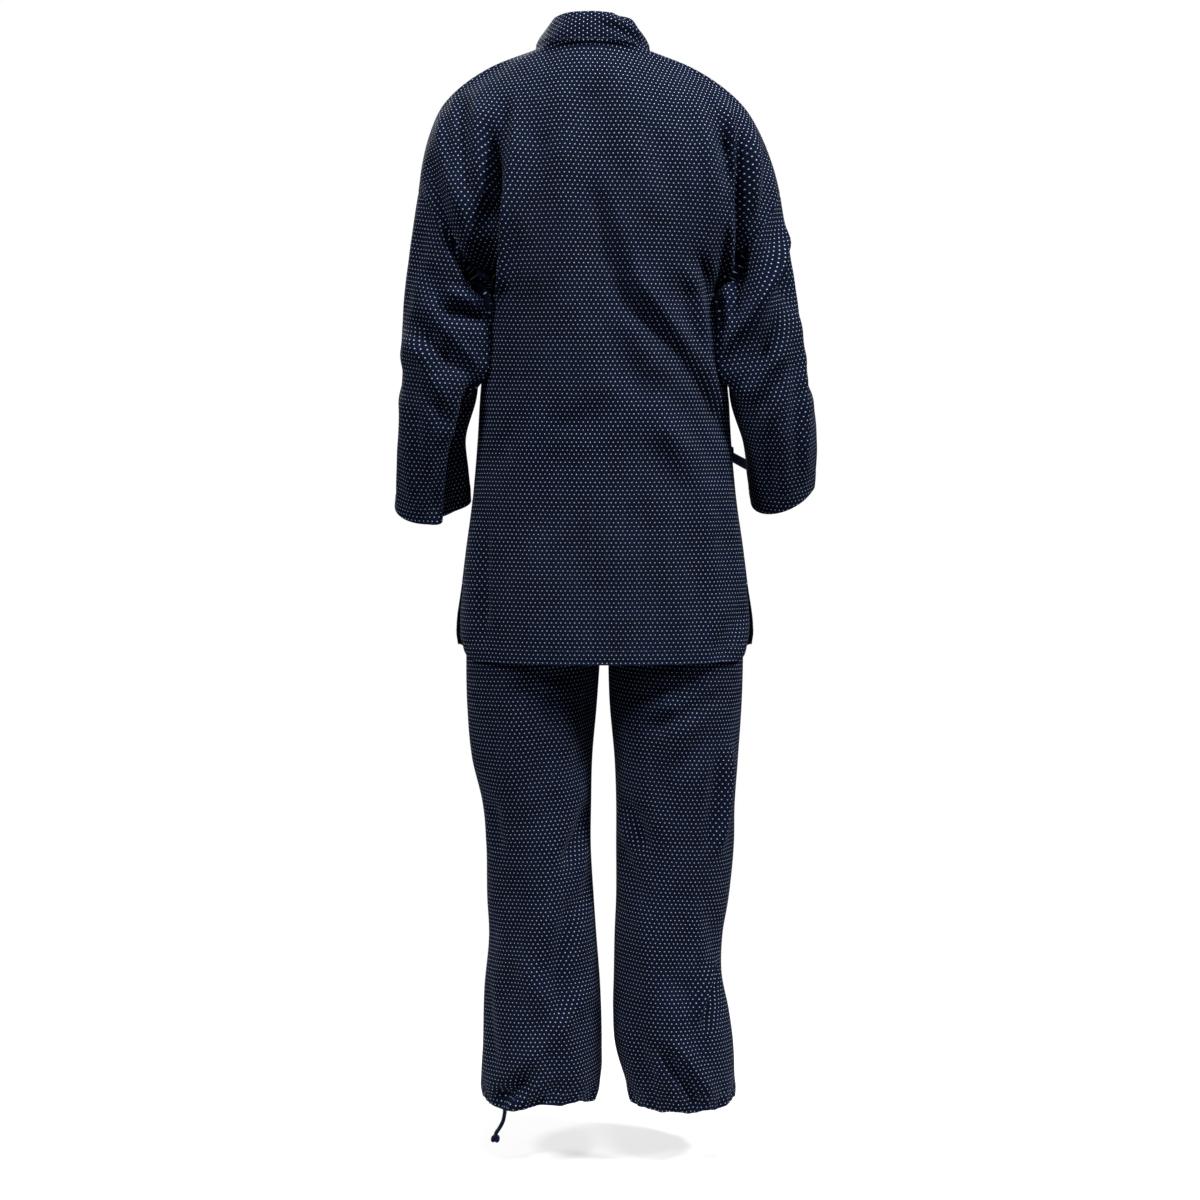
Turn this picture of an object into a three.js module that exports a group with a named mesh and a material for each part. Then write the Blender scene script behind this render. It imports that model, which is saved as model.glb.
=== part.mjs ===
// A samue, worn and hollow: wrap-over jacket with straight-cut body, dropped sleeves, long collar band and
// side tie, over straight trousers whose hems are drawn in by a cord.
// Millimetres. +Z up, the front faces -Y, the wearer's left is +X, the origin is at the nape.
import * as THREE from "three";

// Cloth and seams
const CLOTH = 1.6;
const COLLAR_CLOTH = 2.4;
const TIE_CLOTH = 1.5;
const SEAM_GAP = 0.3;
const LAYER_STEP = 5.8;

// Jacket levels and widths
const ARMPIT_Z = -330;
const SLIT_Z = -603;
const JACKET_HEM_Z = -812;
const HEM_CORNER_LIFT = 9;
const COLLAR_END_Z = -540;
const NECK_HALF = 76;
const COLLAR_SEAM_END_X = -75;
const FRONT_EDGE_X = -125;
const FRONT_HEM_X = -130;
const ROUNDNESS = 0.85;
const BODY_AXIS_Y = -60;
const BODY_AXIS_TOP_Z = -150;

// Where the overlapping left side leaves the body: heights, and distances in from the side seam.
const LAYER_TOP_Z = -25;
const LAYER_FULL_Z = -100;
const LAYER_SIDE_START = 4;
const LAYER_SIDE_FULL = 42;

// Collar band: it stands round the neck above a height and lies flat on the fronts below it.
const NECK_AXIS_Y = -65;
const COLLAR_LYING_Z = -110;
const COLLAR_LEAN = 17;
const COLLAR_LIFT = 1.5;
const COLLAR_ROLL = 2.5;

// Trouser levels
const WAIST_Z = -470;
const WAISTBAND_HEIGHT = 34;
const CROTCH_TOP_Z = -690;
const CROTCH_Z = -792;
const TROUSER_HEM_Z = -1413;
const HEM_WAVES = 11;
const HEM_WAVE_DEPTH = 3.2;
const HEM_WAVE_LIFT = 2;
const HEM_GATHER_HEIGHT = 46;
const LEG_AXIS = { x: 85, y: -55 };

// Mesh steps
const NECK_STEPS = 5;
const SHOULDER_STEPS = 12;
const ARMHOLE_STEPS = 10;
const CHEST_ROWS = 5;
const SKIRT_STEPS = 16;
const STEP_ROW = 4;
const EDGE_COLUMNS = 3;
const SLEEVE_STEPS = 12;
const LEG_COLUMNS = 10;
const LEG_STEPS = 24;
const BAND_COLUMNS = 3;
const STRAP_STEPS = 8;
const LOOP_STEPS = 16;
const STEP_SLANT = 0.85;

// How far the standing figure sways sideways at each level.
const SWAY = [
  { z: 60, x: 0 },
  { z: -60, x: 0 },
  { z: -200, x: -8 },
  { z: -330, x: -13 },
  { z: -600, x: -15 },
  { z: -1500, x: -15.5 },
];
const SHOULDER_TILT = 0.01;
const TILT_FADE_Z = -420;

// Jacket sections below the armpit: half width, and y at centre back, centre front and side seam.
const TORSO = [
  { z: -330, half: 152, back: 46, front: -190, side: -48 },
  { z: -400, half: 159, back: 46, front: -188, side: -54 },
  { z: -470, half: 165, back: 46, front: -184, side: -56 },
  { z: -540, half: 170, back: 46, front: -183, side: -57 },
  { z: -603, half: 176, back: 48, front: -185, side: -58 },
  { z: -660, half: 183, back: 50, front: -188, side: -58 },
  { z: -723, half: 189, back: 53, front: -191, side: -58 },
  { z: -790, half: 193, back: 56, front: -195, side: -58 },
  { z: -812, half: 189, back: 57, front: -196, side: -58 },
];
// How far the two edges of a side slit stand apart, and how far the front one shows beyond the back one.
const SLIT = [
  { z: -603, open: 0, beyond: 0 },
  { z: -660, open: 4, beyond: 3 },
  { z: -730, open: 8, beyond: 6 },
  { z: -812, open: 10, beyond: 8 },
];
// Chest above the armpit: y on the centre line, and how fast it curves back with x squared.
const CHEST = [
  { z: -12, y: -100, curve: 0.0078 },
  { z: -40, y: -118, curve: 0.0065 },
  { z: -85, y: -142, curve: 0.0048 },
  { z: -140, y: -163, curve: 0.0036 },
  { z: -220, y: -179, curve: 0.0028 },
  { z: -330, y: -190, curve: 0.0022 },
];
// Centre back from the nape to the armpit level.
const SPINE = [
  { x: 0, y: 4, z: -4 },
  { x: 0, y: 24, z: -46 },
  { x: 0, y: 37, z: -108 },
  { x: 0, y: 44, z: -180 },
  { x: 0, y: 46, z: -255 },
  { x: 0, y: 46, z: -330 },
];
// Collar seam round the back of the neck, with the band's top edge above it.
const NECK = [
  { x: 0, y: 4, z: -4, topX: 0, topY: -10, topZ: 34 },
  { x: 32, y: -1, z: -4, topX: 28, topY: -16, topZ: 33 },
  { x: 58, y: -20, z: -7, topX: 48, topY: -38, topZ: 29 },
  { x: 76, y: -55, z: -12, topX: 59, topY: -72, topZ: 19 },
];
// Band below the shoulder: the top edge's step from the seam, at seam heights.
const BAND = [
  { z: -12, dx: -17, dz: 31 },
  { z: -40, dx: -33, dz: 31 },
  { z: -85, dx: -46, dz: 23 },
  { z: -140, dx: -50, dz: 14 },
  { z: -540, dx: -50, dz: 14 },
];
// Shoulder line from the neck to the top of the dropped sleeve seam.
const SHOULDER = [
  { x: 76, y: -55, z: -12 },
  { x: 131, y: -50, z: -34 },
  { x: 172, y: -48, z: -60 },
  { x: 200, y: -47, z: -88 },
  { x: 219, y: -47, z: -125 },
  { x: 231, y: -48, z: -162 },
  { x: 238, y: -48, z: -197 },
];
// Sleeve sections down each arm. slant lifts the outer side, tilt lifts the back.
const SLEEVES = {
  left: [
    { x: 195, y: -48, z: -263.5, wide: 43, deep: 55, slant: 66.5, tilt: 0 },
    { x: 207, y: -47, z: -330, wide: 48, deep: 57, slant: 38, tilt: 0 },
    { x: 216, y: -46, z: -400, wide: 52, deep: 58, slant: 12, tilt: -4 },
    { x: 221, y: -50, z: -465, wide: 51, deep: 58, slant: 2, tilt: -9 },
    { x: 231, y: -62, z: -523, wide: 46, deep: 57, slant: 0, tilt: -14 },
    { x: 231, y: -74, z: -563, wide: 49, deep: 57, slant: 0, tilt: -20 },
    { x: 231, y: -88, z: -609, wide: 51, deep: 56, slant: -2, tilt: -25 },
  ],
  right: [
    { x: 195, y: -48, z: -263.5, wide: 43, deep: 55, slant: 66.5, tilt: 0 },
    { x: 204, y: -47, z: -330, wide: 46, deep: 57, slant: 38, tilt: 0 },
    { x: 212, y: -46, z: -400, wide: 49, deep: 58, slant: 14, tilt: -4 },
    { x: 221, y: -49, z: -465, wide: 53, deep: 59, slant: 8, tilt: -9 },
    { x: 235, y: -60, z: -518, wide: 50, deep: 60, slant: 10, tilt: -14 },
    { x: 238, y: -72, z: -556, wide: 48, deep: 60, slant: 14, tilt: -20 },
    { x: 240, y: -84, z: -592, wide: 43, deep: 58, slant: 16, tilt: -24 },
  ],
};
// Hips: half width, and y at back, front and side.
const HIPS = [
  { z: -470, half: 143, back: 22, front: -150, side: -62 },
  { z: -560, half: 153, back: 30, front: -160, side: -62 },
  { z: -640, half: 164, back: 44, front: -162, side: -60 },
  { z: -685, half: 169, back: 50.3, front: -161, side: -59 },
  { z: -735, half: 173, back: 42, front: -158, side: -58 },
  { z: -800, half: 178, back: 31, front: -152, side: -57 },
];
// Leg sections.
const LEGS = {
  left: [
    { x: 92, y: -57, z: -780, wide: 88, deep: 87 },
    { x: 95, y: -57, z: -880, wide: 84, deep: 88 },
    { x: 95, y: -57, z: -950, wide: 78, deep: 85 },
    { x: 90, y: -56, z: -1013, wide: 71.5, deep: 82 },
    { x: 89.5, y: -54, z: -1068, wide: 70.5, deep: 80 },
    { x: 87, y: -51, z: -1139, wide: 72, deep: 80 },
    { x: 84, y: -47, z: -1189, wide: 72.5, deep: 80 },
    { x: 84.5, y: -43, z: -1263, wide: 78.5, deep: 81 },
    { x: 84.5, y: -39, z: -1339, wide: 80.5, deep: 82 },
    { x: 86, y: -38, z: -1385, wide: 80.5, deep: 80 },
    { x: 87.5, y: -38, z: -1422, wide: 71, deep: 74 },
  ],
  right: [
    { x: 92, y: -57, z: -780, wide: 88, deep: 87 },
    { x: 92, y: -57, z: -872, wide: 86, deep: 88 },
    { x: 93, y: -57, z: -954, wide: 80, deep: 87 },
    { x: 94, y: -56, z: -1013, wide: 79, deep: 83 },
    { x: 94.5, y: -54, z: -1068, wide: 79.5, deep: 81 },
    { x: 91, y: -51, z: -1139, wide: 76, deep: 80 },
    { x: 86, y: -47, z: -1189, wide: 73, deep: 80 },
    { x: 85, y: -44, z: -1242, wide: 73, deep: 80 },
    { x: 89.5, y: -41, z: -1293, wide: 78.5, deep: 81 },
    { x: 94, y: -38, z: -1339, wide: 80, deep: 81 },
    { x: 101, y: -37, z: -1385, wide: 74, deep: 79 },
    { x: 104, y: -37, z: -1422, wide: 67, deep: 73 },
  ],
};

// Largest folds, each along a bowed line from x0,z0 to x1,z1 on the side named. depth is below the cloth
// where it is positive and above it where it is negative.
const BACK_FOLDS = [
  { x0: 142, z0: -112, x1: 158, z1: -250, bow: 10, width: 17, depth: 17 },
  { x0: 152, z0: -215, x1: 164, z1: -330, bow: 3, width: 14, depth: 9 },
  { x0: -172, z0: -120, x1: -176, z1: -235, bow: 0, width: 13, depth: 15 },
  { x0: -170, z0: -215, x1: -162, z1: -330, bow: 0, width: 12, depth: 8 },
  { x0: 192, z0: -92, x1: 180, z1: -200, bow: -6, width: 12, depth: 5 },
  { x0: 22, z0: -210, x1: -60, z1: -480, bow: -14, width: 26, depth: 6 },
  { x0: -64, z0: -440, x1: -152, z1: -560, bow: 10, width: 20, depth: 6 },
  { x0: -118, z0: -300, x1: -160, z1: -450, bow: 6, width: 15, depth: -6 },
  { x0: 150, z0: -640, x1: 153, z1: -800, bow: 2, width: 12, depth: 5 },
  { x0: -150, z0: -810, x1: -186, z1: -740, bow: 0, width: 14, depth: 6 },
];
const FRONT_FOLDS = [
  { x0: 132, z0: -95, x1: 158, z1: -300, bow: 8, width: 24, depth: 22 },
  { x0: -134, z0: -100, x1: -156, z1: -300, bow: -8, width: 24, depth: 22 },
];
const SLEEVE_FOLDS = [
  { x0: 256, z0: -360, x1: 196, z1: -440, bow: 6, width: 13, depth: 8 },
  { x0: 262, z0: -395, x1: 205, z1: -405, bow: 0, width: 16, depth: -5 },
  { x0: 204, z0: -515, x1: 226, z1: -630, bow: -4, width: 13, depth: 8 },
  { x0: -246, z0: -255, x1: -168, z1: -395, bow: 8, width: 16, depth: -9 },
  { x0: -252, z0: -300, x1: -186, z1: -430, bow: 8, width: 13, depth: 7 },
];
const LEG_BACK_FOLDS = [
  { x0: 20, z0: -1010, x1: 48, z1: -1080, bow: 4, width: 13, depth: 6 },
  { x0: 44, z0: -1140, x1: 82, z1: -1330, bow: -8, width: 16, depth: 6 },
  { x0: 100, z0: -1365, x1: 146, z1: -1400, bow: 4, width: 11, depth: 6 },
  { x0: -40, z0: -1008, x1: -56, z1: -1060, bow: 0, width: 13, depth: 6 },
  { x0: -160, z0: -1225, x1: -142, z1: -1300, bow: 0, width: 13, depth: 9 },
  { x0: -154, z0: -930, x1: -142, z1: -1070, bow: 4, width: 15, depth: -6 },
  { x0: -130, z0: -838, x1: -84, z1: -862, bow: 0, width: 16, depth: 5 },
];
const LEG_FRONT_FOLDS = [
  { x0: 40, z0: -860, x1: 150, z1: -900, bow: 8, width: 17, depth: 5 },
  { x0: 50, z0: -1090, x1: 120, z1: -1160, bow: 8, width: 16, depth: 6 },
  { x0: -44, z0: -870, x1: -140, z1: -905, bow: -8, width: 17, depth: 5 },
  { x0: -60, z0: -1120, x1: -130, z1: -1180, bow: -8, width: 16, depth: 6 },
];
const FOLD_FLANK = 0.3;
const FLANK_PLACE = 1.9;

// Side tie: the band's width, the knot's place and each stretch's way from the knot.
const TIE_WIDTH = 12;
const KNOT = { x: -146, y: -147, z: -539, radius: 9, height: 15 };
const KNOT_REACH = 9.5;
const KNOT_CLEARANCE = 0.9;
const TIE_LIFT = 4;
const TAIL_DROP = 12;
const LOOP_OUTER = { reachX: -56, reachY: -22, reachZ: -31, swell: 6 };
const LOOP_INNER = { reachX: 22, reachY: -44, reachZ: -34, swell: 6 };
const SIDE_STRAP_SHARES = [0.99, 0.93, 0.87, 0.81];
const TAILS = [
  { name: "tie_tail_outer", startX: 0, startY: 1, dx: -22, dy: -3, length: 118 },
  { name: "tie_tail_inner", startX: -1.2, startY: -5.4, dx: 12, dy: -31, length: 104 },
];

// Drawcord end at the wearer's left ankle.
const CORD_DIAMETER = 5.5;
const CORD_SIDES = 8;
const CORD_STEPS = 14;
const CORD_KNOT = { radius: 6, height: 12, below: 2.2 };
const CORD_ROUTE = [
  [133.5, 18.9, -1414.6],
  [134.1, 20.5, -1421],
  [136.5, 23, -1430],
  [141, 25, -1438],
  [145, 26, -1444],
];

const NAVY = { color: 0x17223d, roughness: 0.85, metalness: 0 };
const DARK_NAVY = { color: 0x0d1426, roughness: 0.85, metalness: 0 };

const vec = (x, y, z) => new THREE.Vector3(x, y, z);

/** Smooth step from 0 at a to 1 at b. */
function ramp(a, b, value) {
  const t = Math.min(1, Math.max(0, (value - a) / (b - a)));
  return t * t * (3 - 2 * t);
}

/** Value of a table's column at a height, along smooth cubics through its rows (z falling). */
function column(table, name, z) {
  const last = table.length - 1;
  if (z >= table[0].z) return table[0][name];
  if (z <= table[last].z) return table[last][name];
  const i = table.findIndex((row, k) => k < last && z <= row.z && z > table[k + 1].z);
  const slope = (a, b) => (table[b][name] - table[a][name]) / (table[b].z - table[a].z);
  const here = slope(i, i + 1);
  const before = i > 0 ? (slope(i - 1, i) + here) / 2 : here;
  const after = i + 1 < last ? (here + slope(i + 1, i + 2)) / 2 : here;
  const span = table[i + 1].z - table[i].z;
  const t = (z - table[i].z) / span;
  const start = table[i][name] * (2 * t ** 3 - 3 * t ** 2 + 1);
  const end = table[i + 1][name] * (3 * t ** 2 - 2 * t ** 3);
  const bends = before * (t ** 3 - 2 * t ** 2 + t) + after * (t ** 3 - t ** 2);
  return start + end + bends * span;
}

/** Smooth curve through a table's points. */
function curveThrough(table) {
  return new THREE.CatmullRomCurve3(table.map((row) => vec(row.x, row.y, row.z)), false, "centripetal");
}

const neckCurve = curveThrough(NECK);
const neckTopCurve = curveThrough(NECK.map((row) => ({ x: row.topX, y: row.topY, z: row.topZ })));
const shoulderCurve = curveThrough(SHOULDER);
const spineCurve = curveThrough(SPINE);

/** Point of a worn oval section: s is 0 on the centre line and 1 at the side; sign picks back or front. */
function oval(table, z, s, back) {
  const angle = (s * Math.PI) / 2;
  const side = column(table, "side", z);
  const reach = column(table, back ? "back" : "front", z) - side;
  const across = Math.sign(angle) * Math.abs(Math.sin(angle)) ** ROUNDNESS;
  const x = column(table, "half", z) * across;
  return vec(x, side + reach * Math.max(0, Math.cos(angle)) ** ROUNDNESS, z);
}

/** The s at which an oval section reaches x. */
function ovalReach(table, z, x) {
  const share = Math.min(1, Math.abs(x) / column(table, "half", z));
  return (Math.sign(x) * Math.asin(share ** (1 / ROUNDNESS)) * 2) / Math.PI;
}

/** Ring of a sleeve: angle 0 outside, a quarter turn at the back, half a turn at the body. */
function sleevePoint(rows, place, angle) {
  const i = Math.min(rows.length - 2, Math.floor(place));
  const at = (name) => column(rows, name, THREE.MathUtils.lerp(rows[i].z, rows[i + 1].z, place - i));
  const lift = at("slant") * Math.cos(angle) + at("tilt") * Math.sin(angle);
  return vec(at("x") + at("wide") * Math.cos(angle), at("y") + at("deep") * Math.sin(angle), at("z") + lift);
}

/** Ring of a leg: s is 0 at the inseam and 1 at the outer seam. */
function legPoint(rows, z, s, back) {
  const angle = s * Math.PI;
  const depth = column(rows, "deep", z) * Math.sin(angle) * (back ? 1 : -1);
  const x = column(rows, "x", z) - column(rows, "wide", z) * Math.cos(angle);
  return vec(x, column(rows, "y", z) + depth, z);
}

/** Patch between four edges: top and bottom run with s, inner and outer with t. */
function blendEdges(top, bottom, inner, outer, s, t, blend) {
  const pull = s * s;
  const point = vec(0, 0, 0);
  point.addScaledVector(top(s), 1 - blend).addScaledVector(bottom(s), blend);
  point.addScaledVector(inner(t), 1 - pull).addScaledVector(outer(t), pull);
  const corners = [[top(0), 1 - pull, 1 - blend], [top(1), pull, 1 - blend],
    [bottom(0), 1 - pull, blend], [bottom(1), pull, blend]];
  corners.forEach(([corner, across, down]) => point.addScaledVector(corner, -across * down));
  return point;
}

/** The patch with its depth rising early, so that the cloth rounds over the shoulder. */
function patch(top, bottom, inner, outer, s, t) {
  const point = blendEdges(top, bottom, inner, outer, s, t, ramp(0, 1, t));
  point.y = blendEdges(top, bottom, inner, outer, s, t, 1 - (1 - t) ** 3).y;
  return point;
}

/** Dropped sleeve seam from the shoulder (t 0) to the armpit (t 1). */
function armholeEdge(t, back) {
  return sleevePoint(SLEEVES.left, 0, Math.PI * t * (back ? 1 : -1));
}

/** Left half of the back at row t above the armpit; k counts columns from the centre. */
function upperBack(k, t) {
  const count = NECK_STEPS + SHOULDER_STEPS;
  const top = (s) => {
    const step = s * count;
    if (step <= NECK_STEPS) return neckCurve.getPoint(step / NECK_STEPS);
    return shoulderCurve.getPoint((step - NECK_STEPS) / SHOULDER_STEPS);
  };
  const bottom = (s) => oval(TORSO, ARMPIT_Z, s, true);
  return patch(top, bottom, (v) => spineCurve.getPoint(v), (v) => armholeEdge(v, true), k / count, t);
}

/** Chest surface at x, z above the armpit, and the worn section's front below it. */
function frontY(x, z) {
  if (z > ARMPIT_Z) return column(CHEST, "y", z) + column(CHEST, "curve", z) * x * x;
  return oval(TORSO, z, ovalReach(TORSO, z, x), false).y;
}

/** x of the left front's collar seam at a height. */
function collarSeamX(z) {
  const top = SHOULDER[0].z;
  return THREE.MathUtils.lerp(NECK_HALF, COLLAR_SEAM_END_X, (top - z) / (top - COLLAR_END_Z));
}

/** x of the left front's free edge below the armpit. */
function frontEdgeX(z) {
  const drop = (COLLAR_END_Z - z) / (COLLAR_END_Z - JACKET_HEM_Z);
  const edge = THREE.MathUtils.lerp(FRONT_EDGE_X, FRONT_HEM_X, drop);
  const past = THREE.MathUtils.clamp((COLLAR_END_Z + STEP_ROW - z) / (2 * STEP_ROW), 0, 1);
  return THREE.MathUtils.lerp(collarSeamX(z), edge, past);
}

/** Left front at row t above the armpit; s is 0 at the collar seam and 1 at the armhole. */
function upperFront(s, t) {
  const top = (a) => shoulderCurve.getPoint(a);
  const reach = ovalReach(TORSO, ARMPIT_Z, collarSeamX(ARMPIT_Z));
  const bottom = (a) => oval(TORSO, ARMPIT_Z, THREE.MathUtils.lerp(reach, 1, a), false);
  const inner = (a) => {
    const z = THREE.MathUtils.lerp(SHOULDER[0].z, ARMPIT_Z, a);
    const x = collarSeamX(z);
    return vec(x, frontY(x, z), z);
  };
  return patch(top, bottom, inner, (a) => armholeEdge(a, false), s, t);
}

/** A grid of points, rows down and columns across, with its normals pointing away from inside(point). */
function makeGrid(rows, inside, ring = false) {
  const grid = { points: rows, normals: [], inside, ring };
  findNormals(grid);
  return grid;
}

/** Normals from the neighbouring points; where an edge steps sideways, from its row and the plumb line. */
function findNormals(grid) {
  const { points, ring, inside } = grid;
  const last = points.length - 1;
  const width = points[0].length;
  let facing = 0;
  grid.normals = points.map((row, i) => row.map((point, j) => {
    const left = ring ? row[(j + width - 1) % width] : row[Math.max(0, j - 1)];
    const right = ring ? row[(j + 1) % width] : row[Math.min(width - 1, j + 1)];
    const across = right.clone().sub(left);
    const down = points[Math.min(last, i + 1)][j].clone().sub(points[Math.max(0, i - 1)][j]);
    const slant = Math.abs(across.dot(down)) / (across.length() * down.length());
    if (slant > STEP_SLANT) down.set(0, 0, -1);
    const normal = across.cross(down).normalize();
    facing += normal.dot(point.clone().sub(inside(point)).normalize());
    return normal;
  }));
  if (facing < 0) grid.normals.forEach((row) => row.forEach((normal) => normal.negate()));
}

/** Gives two lists of matching edge vertices one shared normal. */
function shareNormals(edgeA, edgeB) {
  edgeA.forEach((a, k) => {
    const both = a.normal.clone().add(edgeB[k].normal).normalize();
    a.normal.copy(both);
    edgeB[k].normal.copy(both);
  });
}

/** Edge of a grid as vertices, from row a to row b at column j. */
function columnEdge(grid, j, a = 0, b = grid.points.length - 1) {
  const rows = Array.from({ length: Math.abs(b - a) + 1 }, (_, k) => (b >= a ? a + k : a - k));
  return rows.map((i) => ({ point: grid.points[i].at(j), normal: grid.normals[i].at(j) }));
}

/** Edge along row i from column a to b, which may pass the end of a ring. */
function rowEdge(grid, i, a, b) {
  const columns = Array.from({ length: Math.abs(b - a) + 1 }, (_, k) => (b >= a ? a + k : a - k));
  const width = grid.points[0].length;
  return columns.map((j) => {
    const place = ((j % width) + width) % width;
    return { point: grid.points[i][place], normal: grid.normals[i][place] };
  });
}

/** Depth of one fold at x, z: a soft trough with raised flanks along a bowed line, fading at both ends. */
function foldDepth(fold, x, z) {
  const lineX = fold.x1 - fold.x0;
  const lineZ = fold.z1 - fold.z0;
  const length = Math.hypot(lineX, lineZ);
  const along = ((x - fold.x0) * lineX + (z - fold.z0) * lineZ) / (length * length);
  const bowed = fold.bow * 4 * along * (1 - along);
  const off = (((x - fold.x0) * lineZ - (z - fold.z0) * lineX) / length - bowed) / fold.width;
  const fade = ramp(-0.12, 0.22, along) * ramp(1.12, 0.78, along);
  const trough = Math.exp(-off * off);
  const flank = Math.exp(-((Math.abs(off) - FLANK_PLACE) ** 2));
  return fold.depth * fade * (trough - FOLD_FLANK * flank);
}

/** Presses the folds into a grid, on the back or the front, fading where the cloth turns edge on. */
function pressFolds(grid, folds, back) {
  grid.points.forEach((row, i) => row.forEach((point, j) => {
    const normal = grid.normals[i][j];
    const facing = ramp(0.02, 0.5, back ? normal.y : -normal.y);
    if (facing === 0) return;
    const depth = folds.reduce((sum, fold) => sum + foldDepth(fold, point.x, point.z), 0);
    point.addScaledVector(normal, -depth * facing);
  }));
}

/** Pulls an edge back from its seam, towards the neighbouring points. */
function trim(points, neighbours) {
  points.forEach((point, k) => {
    const inward = neighbours[k].clone().sub(point).normalize();
    point.addScaledVector(inward, SEAM_GAP / 2);
  });
}

function trimColumn(grid, j, step) {
  trim(grid.points.map((row) => row.at(j)), grid.points.map((row) => row.at(j + step)));
}

/** Pulls the top row back from its seam. */
function trimTop(grid) {
  trim(grid.points[0], grid.points[1]);
}

/** The figure's stance: a slight sway, and the right shoulder a little lower. */
function stand(point) {
  const lowered = SHOULDER_TILT * point.x * ramp(TILT_FADE_Z, 0, point.z);
  point.x += column(SWAY, "x", point.z);
  point.z += lowered;
  return point;
}

/** Closed cloth wall: the grid outside, its offset inside, and the edges between. */
function wall(grid, thickness) {
  const { points, normals, ring } = grid;
  const rows = points.length;
  const width = points[0].length;
  const positions = [];
  for (const depth of [0, thickness]) {
    points.forEach((row, i) => row.forEach((point, j) => {
      const placed = stand(point.clone().addScaledVector(normals[i][j], -depth));
      positions.push(placed.x, placed.y, placed.z);
    }));
  }
  const layer = rows * width;
  const at = (i, j, inner) => i * width + (j % width) + (inner ? layer : 0);
  const index = [];
  const quad = (a, b, c, d) => index.push(a, b, c, a, c, d);
  const columns = ring ? width : width - 1;
  for (let i = 0; i < rows - 1; i += 1) {
    for (let j = 0; j < columns; j += 1) {
      quad(at(i, j), at(i + 1, j), at(i + 1, j + 1), at(i, j + 1));
      quad(at(i, j, true), at(i, j + 1, true), at(i + 1, j + 1, true), at(i + 1, j, true));
    }
    if (!ring) {
      quad(at(i, 0), at(i, 0, true), at(i + 1, 0, true), at(i + 1, 0));
      quad(at(i, columns), at(i + 1, columns), at(i + 1, columns, true), at(i, columns, true));
    }
  }
  for (let j = 0; j < columns; j += 1) {
    quad(at(0, j), at(0, j + 1), at(0, j + 1, true), at(0, j, true));
    quad(at(rows - 1, j), at(rows - 1, j, true), at(rows - 1, j + 1, true), at(rows - 1, j + 1));
  }
  return closedGeometry(positions, index);
}

/** Geometry whose faces point out whichever way the grid was wound. */
function closedGeometry(positions, index) {
  const corner = (k) => vec(positions[3 * k], positions[3 * k + 1], positions[3 * k + 2]);
  let volume = 0;
  for (let k = 0; k < index.length; k += 3) {
    volume += corner(index[k]).dot(corner(index[k + 1]).cross(corner(index[k + 2])));
  }
  if (volume < 0) {
    for (let k = 0; k < index.length; k += 3) {
      [index[k + 1], index[k + 2]] = [index[k + 2], index[k + 1]];
    }
  }
  const geometry = new THREE.BufferGeometry();
  geometry.setAttribute("position", new THREE.Float32BufferAttribute(positions, 3));
  geometry.setIndex(index);
  return geometry;
}

/** Named solid in its own finish. */
function piece(name, geometry, finish = NAVY) {
  const mesh = new THREE.Mesh(geometry, new THREE.MeshStandardMaterial(finish));
  mesh.name = name;
  return mesh;
}

const mirrored = (rows) => rows.map((row) => row.map((point) => vec(-point.x, point.y, point.z)));
const bodyAxis = (point) => vec(0, BODY_AXIS_Y, Math.min(point.z, BODY_AXIS_TOP_Z));
const levelAxis = (point) => vec(0, BODY_AXIS_Y, point.z);

/** Heights of the rows below the armpit, with one just above and one just below the collar's end. */
function skirtLevels() {
  const upper = Array.from({ length: CHEST_ROWS }, (_, k) => (
    THREE.MathUtils.lerp(ARMPIT_Z, COLLAR_END_Z + STEP_ROW, (k + 1) / CHEST_ROWS)));
  const lower = SKIRT_STEPS - CHEST_ROWS;
  const rest = Array.from({ length: lower }, (_, k) => (
    THREE.MathUtils.lerp(COLLAR_END_Z - STEP_ROW, JACKET_HEM_Z, k / (lower - 1))));
  return upper.concat(COLLAR_END_Z, rest);
}

/** Opens the side slit and lifts the hem's corners. */
function slitShift(point, share, back) {
  const nearEdge = ramp(0.72, 1, share);
  point.y += column(SLIT, "open", point.z) * nearEdge * (back ? 1 : -1);
  point.x += back ? 0 : column(SLIT, "beyond", point.z) * nearEdge;
  point.z += HEM_CORNER_LIFT * nearEdge * ramp(SLIT_Z, JACKET_HEM_Z, point.z);
  return point;
}

/** Back of the jacket, one width of cloth from side to side. */
function backGrid() {
  const half = NECK_STEPS + SHOULDER_STEPS;
  const rows = [];
  const fullRow = (pointAt) => {
    const left = Array.from({ length: half + 1 }, (_, k) => pointAt(k));
    const right = left.slice(1).reverse().map((point) => vec(-point.x, point.y, point.z));
    return right.concat(left);
  };
  for (let i = 0; i <= ARMHOLE_STEPS; i += 1) {
    rows.push(fullRow((k) => upperBack(k, i / ARMHOLE_STEPS)));
  }
  for (const z of skirtLevels()) {
    rows.push(fullRow((k) => slitShift(oval(TORSO, z, k / half, true), k / half, true)));
  }
  return makeGrid(rows, bodyAxis);
}

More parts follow.
